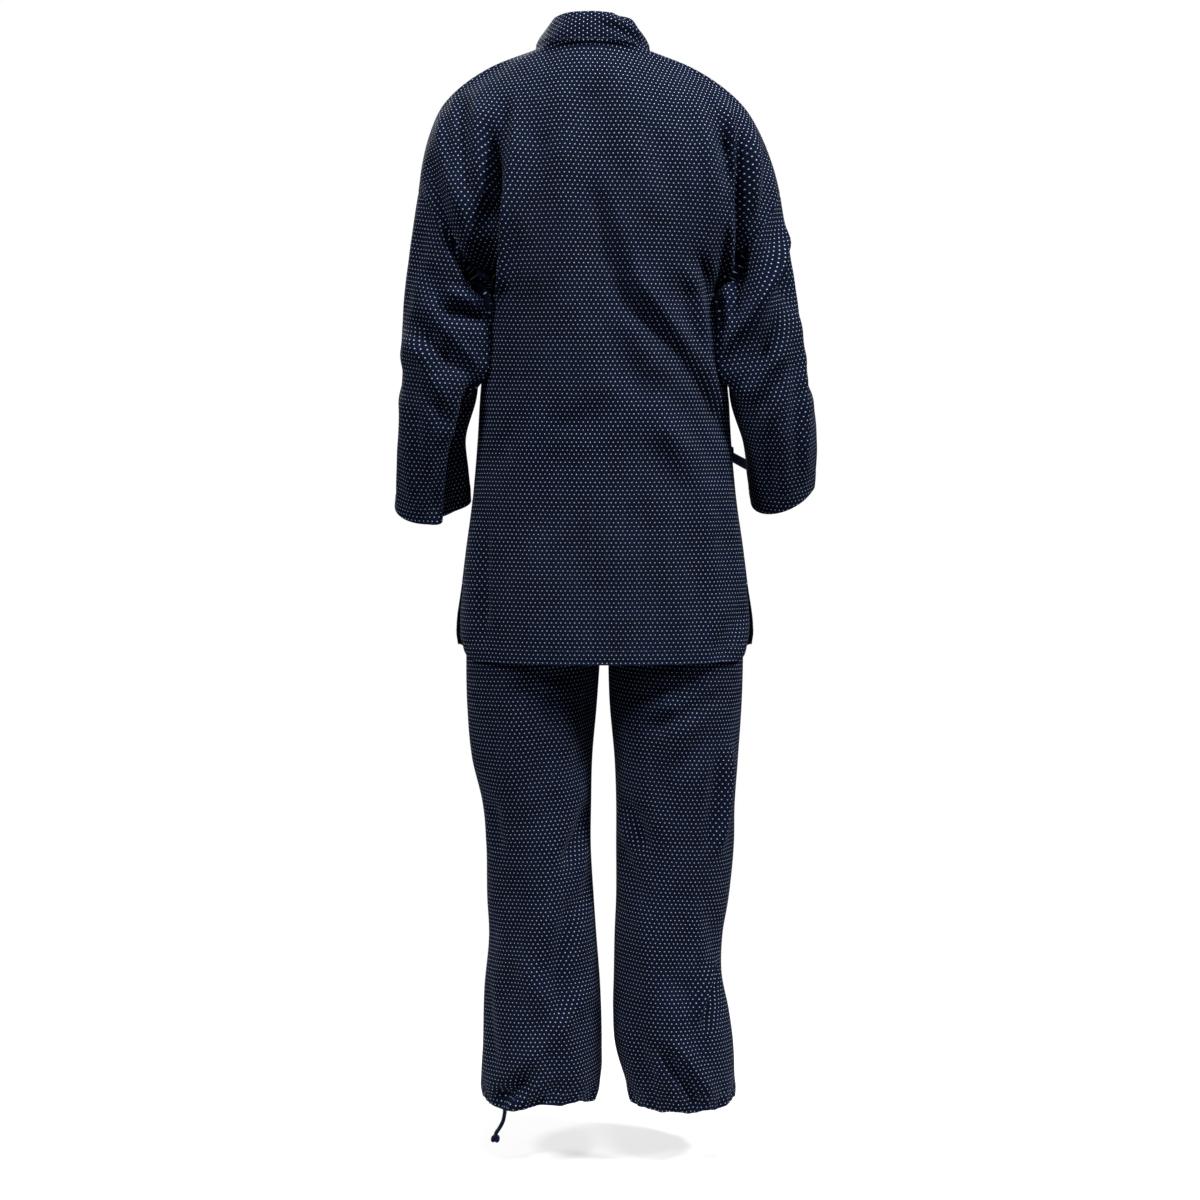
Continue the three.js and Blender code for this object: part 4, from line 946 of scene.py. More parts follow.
        upper = self.patch(
            lambda s: curve_through(self.shoulder, s),
            lambda s: FIGURE.oval(FIGURE.torso, np.full_like(s, self.armpit), mix(start, 1, s), Side.FRONT),
            inner,
            lambda t: self.sleeve_ring(self.sleeve_left, 0, -math.pi * t),
            shares, down)
        z, k = np.meshgrid(self.levels(), 1 - shares, indexing="ij")
        reach = FIGURE.reach(FIGURE.torso, z, self.edge_x(z))
        seam = FIGURE.reach(FIGURE.torso, z, np.maximum(self.seam_x(z), self.collar_seam_end))
        turn = mix(1, seam, self.steady_share)
        late = (k - self.steady_share) / (1 - self.steady_share)
        share = np.where(k <= self.steady_share, mix(1, turn, k / self.steady_share), mix(turn, reach, late))
        lower = self.open_slit(FIGURE.oval(FIGURE.torso, z, share, Side.FRONT), share, Side.FRONT)
        points = np.concatenate([upper, lower]) * np.array([sign, 1, 1])
        return Panel(name, points, self.body_axis)

    def layer(self, points: Array) -> Array:
        """Returns how far the overlapping left side stands off the body."""
        half = FIGURE.torso.at("half", points[..., 2])
        inwards = ramp(half - 4, half - 42, points[..., 0])
        return self.layer_step * ramp(-25, -100, points[..., 2]) * inwards

    def lap(self, points: Array) -> Array:
        """Returns 1 where the under front lies flat below the end of the collar, and 0 away from it."""
        top, bottom, right, left = self.lap_edges
        x, z = points[..., 0], points[..., 2]
        return ramp(*top, z) * ramp(*bottom, z) * ramp(*right, x) * ramp(*left, x)

    def make_sleeve(self, name: str, sign: int) -> Panel:
        """Makes a sleeve.

        Args:
            name: The piece's name.
            sign: 1 on the wearer's left and -1 on the right.

        Returns:
            The sleeve, rings from the dropped seam to the cuff, opened under the arm.
        """
        form = self.sleeve_left if sign > 0 else self.sleeve_right
        last = len(form.rows) - 1
        cuff = np.array(self.cuff_rows) / self.cuff_section
        rows = np.concatenate([np.linspace(0, last - cuff[0] - 0.08, self.sleeve_rows), last - cuff])
        angle = np.linspace(-math.pi, math.pi, 2 * self.arm_rows + 1)
        place, turn = np.meshgrid(rows, angle, indexing="ij")
        points = self.rest_sleeve(self.sleeve_ring(form, place, turn), place, turn) * np.array([sign, 1, 1])

        def inside(cloth: Array) -> Array:
            """Returns points on the sleeve's axis."""
            z = np.clip(cloth[..., 2], form.rows[-1][0], form.rows[0][0])
            return stack(sign * form.at("x", z), form.at("y", z), cloth[..., 2])

        return Panel(name, points, inside, ring=True)

    def rest_sleeve(self, points: Array, place: Array, turn: Array) -> Array:
        """Rests a sleeve's inner back side against the side of the body, down to the elbow.

        Args:
            points: Rings of the sleeve, on the wearer's left.
            place: Section number of each point.
            turn: Angle of each point round its ring.

        Returns:
            The rings' new points.
        """
        y, z = points[..., 1], points[..., 2]
        level = ramp(*self.rest_top, z) * ramp(*self.rest_bottom, z) * ramp(0, 0.35, place)
        near = np.exp(-((turn - self.rest_angle) / self.rest_spread) ** 2)
        body = FIGURE.side_x(FIGURE.torso, y, np.minimum(z, self.armpit)) + self.rest_gap
        pull = np.maximum(0, points[..., 0] - body) * near * level
        return points - stack(pull, 0.0, 0.0)

    def depth_on(self, panel: Panel, x: Array, z: Array) -> Array:
        """Reads a front's y at x, z as the mean of its nearest points.

        Args:
            panel: The front.
            x: Places across.
            z: Places up.

        Returns:
            y for each place, or NaN where the front doesn't reach.
        """
        cloud = panel.points.reshape(-1, 3)
        found = np.full(len(x), np.nan)
        for k, (across, height) in enumerate(zip(x, z)):
            gaps = (cloud[:, 0] - across) ** 2 + (cloud[:, 2] - height) ** 2
            nearest = np.argpartition(gaps, 4)[:4]
            if gaps[nearest].min() < self.lap_reach**2:
                weight = 1 / (gaps[nearest] + 0.1)
                found[k] = (cloud[nearest, 1] * weight).sum() / weight.sum()
        return found

    def band_rows(self, seam: Array, top: Array, roll: Array | float) -> Array:
        """Rows of the band between its seam and its top edge, rolled outwards.

        Args:
            seam: Points of the seam.
            top: Points of the top edge.
            roll: How far the band swells between them.

        Returns:
            A grid, a row for each seam point.
        """
        share = np.linspace(0, 1, self.band_columns + 1)[None, :, None]
        points = mix(seam[:, None], top[:, None], share)
        outward = points - stack(0.0, self.neck_axis, points[..., 2])
        swell = np.sin(share * math.pi) * np.reshape(roll, (-1, 1, 1))
        return points + unit(outward) * swell

    def collar_half(self, back: Panel, front: Panel, under: Panel | None, sign: int) -> Array:
        """Half of the collar from the nape down.

        Args:
            back: The jacket's back.
            front: The front on this side.
            under: The front that this half lies on, if it laps over.
            sign: 1 on the wearer's left and -1 on the right.

        Returns:
            Rows of the band.
        """
        centre = self.half_columns
        neck_steps = round(self.neck_share * self.half_columns)
        seam = back.points[0][centre + sign * np.arange(neck_steps + 1)]
        top = curve_through(self.neck_top, np.arange(neck_steps + 1) / neck_steps) * np.array([sign, 1, 1])
        neck = self.band_rows(seam, top, self.band_roll)
        last = int(np.argmax(front.points[:, 0, 2] < self.collar_end + 1)) - 1
        edge = front.points[1:last, -1]
        z = edge[:, 2]
        top = stack(edge[:, 0] + sign * self.band.at("dx", z), 0.0, z + self.band.at("dz", z))
        standing = ramp(-110, self.shoulder[0][2], z)
        level = np.minimum(top[:, 2], self.shoulder[0][2] - 2)
        lying = self.front_y(top[:, 0], level) - 1.5
        if under is not None:
            below = self.depth_on(under, top[:, 0], level) - self.layer_step
            lying = np.where(np.isnan(below), lying, below)
        kernel = np.ones(5) / 5
        lying[2:-2] = np.convolve(lying, kernel, mode="valid")
        top[:, 1] = mix(lying, edge[:, 1] - self.band_lean, standing)
        return np.concatenate([neck, self.band_rows(edge, top, mix(1, self.band_roll, standing))])

    def make_collar(self, back: Panel, left: Panel, right: Panel) -> Panel:
        """Returns the collar band, from its right end round the neck to its left end."""
        left_half = self.collar_half(back, left, right, 1)
        right_half = self.collar_half(back, right, None, -1)
        points = np.concatenate([right_half[:0:-1], left_half])
        panel = Panel("collar_band", points, lambda p: stack(0.0, self.neck_axis, p[..., 2] - 30))
        length = running_length(points[:, :1], 0)
        across = running_length(points, 1)
        panel.flat = np.stack([across, np.broadcast_to(-length, across.shape)], axis=-1)
        return panel

    def join(self, back: Panel, left: Panel, right: Panel, sleeves: dict[int, Panel]) -> None:
        """Gives the pieces common normals along their seams."""
        arm, columns, middle = self.arm_rows, self.front_columns, self.half_columns
        neck = round(self.neck_share * middle)
        share_normals(back.normals[:, -1], left.normals[:, 0])
        share_normals(back.normals[:, 0], right.normals[:, 0])
        across = np.linspace(0, 1, columns + 1)
        left_row, right_row = back.normals[0, middle + neck:], back.normals[0, :middle - neck + 1][::-1]
        for front, row in ((left, left_row), (right, right_row)):
            place = np.linspace(0, 1, len(row))
            matched = np.stack([np.interp(across, place, row[:, k]) for k in range(3)], axis=-1)[::-1]
            both = unit(front.normals[0] + matched)
            front.normals[0] = both
            for k in range(3):
                row[:, k] = np.interp(place, across, both[::-1, k])
        for sign, front, column in ((1, left, -1), (-1, right, 0)):
            ring = sleeves[sign].normals[0]
            for _ in range(2):
                share_normals(front.normals[:arm + 1, 0], ring[arm::-1])
                share_normals(back.normals[:arm + 1, column], ring[arm:])
            ring[0] = ring[-1] = unit(ring[0] + ring[-1])

    def crease(self, back: Panel, fronts: Sequence[Panel], sleeves: dict[int, Panel]) -> None:
        """Presses the folds and creases into the body and the sleeves."""
        back.press(BACK_FOLDS, Side.BACK)
        back.press(BACK_CREASES, Side.BACK)
        both_arms = LEFT_ARM_CREASES + RIGHT_ARM_CREASES
        under = RIGHT_ARM_CREASES + RIGHT_SIDE_CREASES
        for front, own in zip(fronts, (LEFT_ARM_CREASES + under + LAP_CREASES, under)):
            front.press(FRONT_FOLDS, Side.FRONT)
            front.press(own, Side.FRONT)
        for sleeve in sleeves.values():
            away = ramp(3, 40, sleeve.edge_distance(first_row=True))
            for shared in (BACK_FOLDS, BACK_CREASES):
                sleeve.press(shared, Side.BACK)
            for shared in (FRONT_FOLDS, both_arms):
                sleeve.press(shared, Side.FRONT)
            sleeve.press(SLEEVE_FOLDS + SLEEVE_CREASES, Side.BACK, away)
            sleeve.press(SLEEVE_FRONT_CREASES, Side.FRONT, away)
            sleeve.press(SLEEVE_OUTER_CREASES, Side.FLAT, away)

    def build(self, cotton: bpy.types.Material, stitches: "Stitching") -> None:
        """Builds and dresses the jacket.

        Args:
            cotton: The cloth's material.
            stitches: Gathers the lines of stitching.
        """
        back = self.make_back()
        left, right = (self.make_front(f"front_{hand}_cloth", sign) for sign, hand in HANDS.items())
        sleeves = {sign: self.make_sleeve(f"sleeve_{hand}_cloth", sign) for sign, hand in HANDS.items()}
        panels = [back, left, right, *sleeves.values()]
        self.join(back, left, right, sleeves)
        back.flat = lay_flat(back.points, self.half_columns)
        end = int(np.argmax(left.points[:, 0, 2] < self.collar_end + 1))
        for front in (left, right):
            front.flat = lay_flat(front.points, self.front_columns // 2, (end - 2, end + 2))
        for sleeve in sleeves.values():
            sleeve.flat = lay_flat(sleeve.points, self.arm_rows)
        self.crease(back, (left, right), sleeves)
        for panel in panels:
            panel.find_normals()
            panel.settle()
            panel.find_normals()
        left.points[..., 1] -= self.layer(left.points)
        right.points[..., 1] += self.under_room * self.lap(right.points)
        self.finish_edges(back, left, right, sleeves, stitches)
        for panel in panels:
            panel.find_normals()
        collar = self.make_collar(back, left, right)
        self.join(back, left, right, sleeves)
        collar.press(COLLAR_CREASES, Side.BACK)
        self.stitch_collar(collar, stitches)
        collar.find_normals()
        for panel in (back, left, right):
            panel.trim(first_row=True, first_column=True, last_column=True)
        for sleeve in sleeves.values():
            sleeve.trim(first_row=True)
        collar.trim(first_column=True)
        rows = [(back, "jacket_back"), (left, "jacket_front_left"), (right, "jacket_front_right"),
                (sleeves[1], "sleeve_left"), (sleeves[-1], "sleeve_right")]
        for panel, node in rows:
            dress_sheet(panel, self.cloth, cotton, Slot.CLOTH, node)
        dress_sheet(collar, self.collar_cloth, cotton, Slot.CLOTH, "collar")

    def finish_edges(self, back: Panel, left: Panel, right: Panel, sleeves: dict[int, Panel],
                     stitches: "Stitching") -> None:
        """Turns the hems, slits and cuffs and lays their stitching."""
        for panel in (back, left, right):
            row = panel.hem_row(panel.points.shape[1] // 2)
            stitches.add(panel.points[row], panel.normals[row])
        for sleeve in sleeves.values():
            row = sleeve.hem_row(self.arm_rows)
            stitches.add(sleeve.points[row], sleeve.normals[row])
            sleeve.lift(-self.seam_groove * np.exp(-((sleeve.edge_distance(first_row=True) / 3) ** 2)))
        top = int(np.argmax(back.points[:, self.half_columns, 2] < self.slit_top))
        first, last = self.slit_column, -self.slit_column - 1
        for panel, column in ((back, first), (back, last), (left, first), (right, first)):
            stitches.add(panel.points[top:-4, column], panel.normals[top:-4, column])
        for front in (left, right):
            low = int(np.argmax(front.points[:, 0, 2] < self.collar_end - self.step_row))
            stitches.add(front.points[low:-4, -3], front.normals[low:-4, -3])

    def stitch_collar(self, collar: Panel, stitches: "Stitching") -> None:
        """Lays the collar's seam and edge stitching and its seam's groove."""
        across = running_length(collar.points, 1)
        collar.lift(-0.9 * np.exp(-(((across - 3) / 1.6) ** 2)) + 0.5 * ramp(3, 7, across))
        collar.fade = np.maximum(collar.fade, np.exp(-(across[:, -1:] - across) / 1.5))
        stitches.add(collar.points[2:-2, 1], collar.normals[2:-2, 1])


# ---------------------------------------------------------------- trousers


LEG_CREASES = {
    Side.BACK: creases(
        (20, -1010, 48, -1080, 4, 13, 6), (44, -1140, 82, -1330, -8, 16, 6),
        (100, -1365, 146, -1400, 4, 11, 6), (-40, -1008, -56, -1060, 0, 13, 6),
        (-160, -1225, -142, -1300, 0, 13, 9), (-154, -930, -142, -1070, 4, 15, -6),
        (-130, -838, -84, -862, 0, 16, 5), (14, -1000, 54, -1088, 4, 9, 7, 0.2, 1.6),
        (6, -1080, 42, -1155, 4, 10, 5), (60, -990, 120, -1040, 4, 15, 3),
        (42, -1125, 62, -1265, -5, 10, 6, 0, 1.7), (120, -1200, 30, -1392, 10, 14, -6, 0, 1.7),
        (12, -1255, 108, -1358, -8, 12, -5), (26, -1215, 74, -1310, -5, 11, 5),
        (94, -1350, 152, -1404, 4, 8, 7, 0, 1.5), (84, -1376, 128, -1409, 3, 8, -4),
        (58, -1372, 98, -1404, 2, 9, 5), (150, -1000, 142, -1066, 0, 9, 6),
        (162, -1240, 150, -1360, 0, 9, 6, 0, 1.6), (150, -1150, 156, -1240, 0, 10, 3),
        (70, -860, 94, -1000, 3, 17, 4), (122, -850, 134, -1000, 3, 16, -3.5),
        (22, -850, 34, -980, 3, 14, 3.5), (118, -1090, 126, -1260, 3, 15, 4),
        (72, -1060, 80, -1180, 3, 16, -3), (-28, -1000, -54, -1066, -2, 9, 7, 0, 1.6),
        (-22, -1055, -46, -1125, -3, 10, 5), (-164, -915, -148, -1072, 3, 8, -6, 0, 1.4),
        (-148, -935, -136, -1060, 2, 9, 6), (-162, -1222, -134, -1304, -3, 7, 10, 0, 1.5),
        (-150, -1205, -124, -1282, -3, 8, -5), (-132, -1130, -150, -1230, 2, 10, 4),
        (-86, -1312, -146, -1400, 4, 10, -6, 0, 1.6), (-68, -1322, -122, -1402, 4, 9, 6),
        (-38, -1290, -64, -1400, 2, 10, 5), (-96, -1230, -130, -1350, 5, 13, 4.5),
        (-150, -822, -40, -860, 3, 10, 6, 0, 1.7), (-156, -852, -60, -900, 3, 11, 5),
        (-140, -900, -90, -960, 3, 13, 3.5), (-66, -860, -80, -1000, -2, 17, 4),
        (-100, -1110, -96, -1260, 2, 16, 4), (-50, -1140, -60, -1280, 2, 14, -4),
        (40, -820, 110, -842, 2, 12, 4),
    ),
    Side.FRONT: creases(
        (40, -860, 150, -900, 8, 17, 5), (50, -1090, 120, -1160, 8, 16, 6),
        (-44, -870, -140, -905, -8, 17, 5), (-60, -1120, -130, -1180, -8, 16, 6),
        (24, -830, 120, -860, 6, 10, 4), (30, -872, 140, -920, 6, 10, 3.5),
        (60, -940, 84, -1060, 3, 16, 3), (110, -960, 120, -1080, 3, 15, -3),
        (40, -1075, 130, -1130, 6, 10, 4), (60, -1140, 130, -1200, 6, 10, 3.5),
        (50, -1190, 64, -1320, 3, 14, 3), (118, -1230, 122, -1360, 3, 13, 3),
        (40, -1350, 90, -1396, 3, 10, 4), (100, -1350, 140, -1392, 3, 10, -3),
        (-24, -832, -120, -858, -6, 10, 4), (-34, -880, -140, -930, -6, 10, 3.5),
        (-64, -950, -90, -1060, -3, 16, 3), (-120, -970, -126, -1080, -3, 15, -3),
        (-44, -1100, -136, -1150, -6, 10, 4), (-66, -1160, -136, -1216, -6, 10, 3.5),
        (-60, -1220, -70, -1340, -3, 14, 3), (-120, -1240, -128, -1360, -3, 13, 3),
        (-50, -1352, -96, -1398, -3, 10, 4), (-106, -1350, -146, -1394, -3, 10, -3),
    ),
}
LEG_NAMES = "z x y wide deep"


@dataclass
class Trousers:
    """The trousers: four panels and the waistband."""

    cloth: float = 1.6
    band_cloth: float = 2.4
    waist: float = -470
    band_height: float = 34
    crotch_top: float = -690
    crotch: float = -792
    hem: float = -1413
    hem_waves: int = 11
    wave_depth: float = 3.2
    wave_lift: float = 2
    small_waves: int = 29
    small_depth: float = 1.1
    cord_rise: float = 9
    gather_height: float = 46
    axis_x: float = 85
    axis_y: float = -55
    rows: int = 216
    columns: int = 64
    hem_rows: tuple[float, ...] = (30, 26, 23, 21, 19.5, 18, 16, 12, 8, 4, 1.2, 0)
    left: Profile = Profile(LEG_NAMES, (
        (-780, 95, -57, 91, 87), (-880, 98, -57, 87, 88), (-950, 98, -57, 81, 85), (-1013, 91.5, -56, 73, 82),
        (-1068, 89.5, -54, 70.5, 80), (-1139, 87, -51, 72, 80), (-1189, 84, -47, 72.5, 80),
        (-1263, 84.5, -43, 78.5, 81), (-1339, 84.5, -39, 80.5, 82), (-1385, 86, -38, 80.5, 80),
        (-1422, 87.5, -38, 71, 74),
    ))
    right: Profile = Profile(LEG_NAMES, (
        (-780, 95, -57, 91, 87), (-872, 95, -57, 89, 88), (-954, 96, -57, 83, 87), (-1013, 95, -56, 80, 83),
        (-1068, 94.5, -54, 79.5, 81), (-1139, 91, -51, 76, 80), (-1189, 86, -47, 73, 80),
        (-1242, 85, -44, 73, 80), (-1293, 89.5, -41, 78.5, 81), (-1339, 94, -38, 80, 81),
        (-1385, 101, -37, 74, 79), (-1422, 104, -37, 67, 73),
    ))

    def levels(self) -> Array:
        """Returns the heights of the rows, close together at the hem."""
        top = self.waist - self.band_height - SEAM_GAP
        return np.concatenate([np.linspace(top, self.hem + self.hem_rows[0] + 4, self.rows),
                               self.hem + np.array(self.hem_rows)])

    def parting(self, z: Array) -> Array:
        """Returns how far the hips have parted into legs, 0 above the crotch and 1 below it."""
        return ramp(self.crotch_top, self.crotch, z)

    def leg_ring(self, form: Profile, z: Array, share: Array, side: Side) -> Array:
        """Returns a leg's section, with share 0 at the inseam and 1 at the outer seam."""
        angle = share * math.pi
        y = form.at("y", z) + form.at("deep", z) * np.sin(angle) * side.value
        return stack(form.at("x", z) - form.at("wide", z) * np.cos(angle), y, z)

    def gather(self, points: Array, form: Profile, rise: float) -> Array:
        """Draws the hem in, in the large soft waves of the solids and small uneven gathers between them.

        Args:
            points: The panel.
            form: The leg's sections.
            rise: How far the back of the hem is pulled up beside the cord.

        Returns:
            The panel's new points.
        """
        z = points[..., 2]
        near = ramp(self.hem + self.gather_height, self.hem, z)
        angle = np.arctan2(points[..., 1] - form.at("y", z), points[..., 0] - form.at("x", z))
        wave = np.cos(angle * self.hem_waves) * self.wave_depth
        small = np.cos(angle * self.small_waves + 1.5 * np.sin(angle * 5)) * self.small_depth
        small *= ramp(self.hem + 34, self.hem + 16, z)
        swell = (wave + small) * near
        moved = points + stack(np.cos(angle) * swell, np.sin(angle) * swell, 0.0)
        beside = ramp(1.05, 1.5, angle) * ramp(2.9, 2.4, angle)
        moved[..., 2] += (np.cos(angle * self.hem_waves) * self.wave_lift + rise * beside) * near
        return moved

    def make_panel(self, name: str, form: Profile, sign: int, side: Side) -> Panel:
        """Makes one panel.

        Args:
            name: The piece's name.
            form: The leg's sections.
            sign: 1 on the wearer's left and -1 on the right.
            side: Back or front.

        Returns:
            The panel, columns from the centre seam and inseam to the side seam.
        """
        z, share = np.meshgrid(self.levels(), np.linspace(0, 1, self.columns + 1), indexing="ij")
        hips = FIGURE.oval(FIGURE.hips, z, share, side)
        points = mix(hips, self.leg_ring(form, z, share, side), self.parting(z)[..., None])
        points = self.gather(points, form, self.cord_rise if sign > 0 else 0.0) * np.array([sign, 1, 1])

        def inside(cloth: Array) -> Array:
            """Returns points on the leg's axis."""
            return stack(sign * self.axis_x * self.parting(cloth[..., 2]), self.axis_y, cloth[..., 2])

        return Panel(name, points, inside)

    def join(self, panels: dict[tuple[int, Side], Panel]) -> None:
        """Gives the panels common normals along their seams."""
        crotch = int(np.argmax(self.parting(panels[1, Side.BACK].points[:, 0, 2]) >= 1))
        for sign in (1, -1):
            back, front = panels[sign, Side.BACK].normals, panels[sign, Side.FRONT].normals
            share_normals(back[:, -1], front[:, -1])
            share_normals(back[crotch:, 0], front[crotch:, 0])
        for side in (Side.BACK, Side.FRONT):
            share_normals(panels[1, side].normals[:crotch, 0], panels[-1, side].normals[:crotch, 0])

    def waistband(self) -> Panel:
        """Returns the waistband, a ring round the hips with shallow gathers of its elastic."""
        quarter = 40
        phase = np.arange(4 * quarter + 1) / quarter
        share = np.where(phase <= 1, phase, np.where(phase >= 3, phase - 4, 2 - phase))
        heights = self.waist - np.linspace(0, self.band_height, 12)
        z, s = np.meshgrid(heights, share, indexing="ij")
        is_back = np.broadcast_to((phase <= 1) | (phase >= 3), z.shape)[..., None]
        points = np.where(is_back, FIGURE.oval(FIGURE.hips, z, s, Side.BACK),
                          FIGURE.oval(FIGURE.hips, z, s, Side.FRONT))
        panel = Panel("waistband_cloth", points, lambda p: stack(0.0, -60.0, p[..., 2]), ring=True)
        around = running_length(points, 1)
        panel.flat = np.stack([around, np.broadcast_to(z - self.waist, around.shape)], axis=-1)
        depth = np.sin(np.linspace(0, math.pi, 12))[:, None]
        panel.lift(0.5 * depth * np.sin(around / 3.4 + np.sin(around / 31)))
        panel.find_normals()
        return panel

    def build(self, cotton: bpy.types.Material, stitches: "Stitching") -> None:
        """Builds and dresses the trousers.

        Args:
            cotton: The cloth's material.
            stitches: Gathers the lines of stitching.
        """
        panels = {}
        for sign, form, hand in ((1, self.left, "left"), (-1, self.right, "right")):
            for side in (Side.BACK, Side.FRONT):
                name = f"trouser_{hand}_{side.name.lower()}_cloth"
                panels[sign, side] = self.make_panel(name, form, sign, side)
        self.join(panels)
        for (_, side), panel in panels.items():
            panel.flat = lay_flat(panel.points, self.columns // 2)
            panel.press(LEG_CREASES[side], side)
            panel.find_normals()
            panel.settle()
            panel.find_normals()
        self.join(panels)
        for panel in panels.values():
            row = panel.hem_row(self.columns // 2)
            panel.find_normals()
            stitches.add(panel.points[row], panel.normals[row])
        self.join(panels)
        for (_, side), panel in panels.items():
            panel.trim(first_column=True, last_column=True)
            node = panel.name.removesuffix("_cloth")
            dress_sheet(panel, self.cloth, cotton, Slot.CLOTH, node)
        dress_sheet(self.waistband(), self.band_cloth, cotton, Slot.CLOTH, "waistband")


# ---------------------------------------------------------------- side tie


@dataclass
class SideTie:
    """The tie at the wearer's right side: knot, two stretches, a bow and two tails."""

    width: float = 12
    cloth: float = 1.5
    knot: tuple[float, float, float] = (-146, -147, -539)
    knot_radius: float = 9
    knot_height: float = 15
    knot_fullness: float = 0.55
    knot_flatness: float = 0.8
    wound_cloth: float = 0.9
    reach: float = 9.5
    clearance: float = 0.9
    lift: float = 4
    tail_drop: float = 12
    columns: int = 7

    def strip(self, name: str, points: Sequence[Sequence[float]], count: int, upright: bool = False) -> Panel:
        """Flat band of doubled cloth along a curve.

        Args:
            name: The piece's name.
            points: Points of its middle line.
            count: Rows along it.
            upright: The band's width stays plumb all along.

        Returns:
            The band.
        """
        shares = np.linspace(0, 1, count)
        line = curve_through(points, shares)
        tangent = unit(np.gradient(line, axis=0))
        level = np.hypot(tangent[:, 0], tangent[:, 1]) > 0.4
        across = np.where(level[:, None], PLUMB, np.array([0.85, -0.5, 0.0]))
        if upright:
            across = np.broadcast_to(PLUMB, line.shape)
        else:
            across = unit(across - tangent * (across * tangent).sum(-1, keepdims=True))
        share = np.linspace(-0.5, 0.5, self.columns)
        grid = line[:, None] + across[:, None] * (share * self.width)[None, :, None]
        middle = grid.reshape(-1, 3).mean(0)
        inside = (lambda p: np.broadcast_to(middle, p.shape)) if upright else (
            lambda p: stack(0.0, -60.0, p[..., 2]))
        panel = Panel(name, grid, inside)
        length = running_length(line[:, None], 0)
        panel.flat = np.stack(np.broadcast_arrays((share * self.width)[None], -length), axis=-1)
        edge = self.width / 2 - np.abs(share * self.width)[None]
        panel.lift(0.25 * ramp(0, 2, edge) - 0.25 * np.exp(-(((edge - 1.8) / 0.8) ** 2)))
        panel.fade = np.broadcast_to(np.exp(-edge / 0.8), grid.shape[:2]).copy()
        return panel

    def loop(self, name: str, reach: tuple[float, float, float], swell: float) -> Panel:
        """Loop of the bow: out from the knot and back, its two plies apart by the swell.

        Args:
            name: The piece's name.
            reach: How far it goes from the knot.
            swell: Half the gap between its plies.

        Returns:
            The loop.
        """
        out_x, out_y, out_z = reach
        length = math.hypot(out_x, out_y)
        x, y, z = self.knot

        def at(share: float, side: float) -> tuple[float, float, float]:
            """Returns a point along the loop, off its middle plane by side."""
            out = share + self.reach / length
            off_x, off_y = out_y / length * side, out_x / length * side
            return x + out_x * out - off_x, y + out_y * out + off_y, z + out_z * share

        plies = ((0, 2.5), (0.35, swell), (0.75, swell + 1), (1, 0),
                 (0.75, -swell), (0.35, 1 - swell), (0, -2.5))
        return self.strip(name, [at(share, side) for share, side in plies], 65, upright=True)

    def tail(self, name: str, start: tuple[float, float], end: tuple[float, float], length: float) -> Panel:
        """Tail of the bow, hanging from under the knot.

        Args:
            name: The piece's name.
            start: Its top's x and y from the knot.
            end: How far it has moved in x and y near its end.
            length: Its length.

        Returns:
            The tail.
        """
        x, y, z = self.knot
        top = z - self.knot_height / 2 - self.clearance
        (sx, sy), (dx, dy) = start, end
        return self.strip(name, [
            (x + sx, y + sy, top), (x + sx, y + sy, top - self.tail_drop),
            (x + dx * 0.7, y + dy * 0.6, top - length * 0.35), (x + dx, y + dy, top - length * 0.7),
            (x + dx * 1.1, y + dy * 1.1, top - length)], 41)

    def knot_mesh(self, finish: bpy.types.Material) -> bpy.types.Object:
        """Makes the knot: cloth wound once round its middle, with the folds of the turn.

        Args:
            finish: Its material.

        Returns:
            The knot.
        """
        around, up = np.meshgrid(np.linspace(0, 2 * math.pi, 49), np.linspace(0, math.pi, 33), indexing="ij")
        ring = np.abs(np.sin(up)) ** self.knot_fullness
        height = np.sign(np.cos(up)) * np.abs(np.cos(up)) ** self.knot_flatness
        wound = self.wound_cloth * np.exp(-((height + 0.25 * np.sin(around)) / 0.42) ** 2)
        folds = 0.35 * np.sin(5 * around + 4 * height) + 0.25 * np.sin(9 * around - 6 * height)
        radius = (self.knot_radius - self.wound_cloth + wound + folds * ring) * ring
        points = stack(radius * np.cos(around), radius * np.sin(around), height * (self.knot_height / 2))
        points = FIGURE.stand(np.array(self.knot, float)) + points
        places = np.stack([around * self.knot_radius, up * self.knot_height / 2], axis=-1)
        return closed_tube(points.transpose(1, 0, 2), "tie_knot_cloth", finish, places.transpose(1, 0, 2))

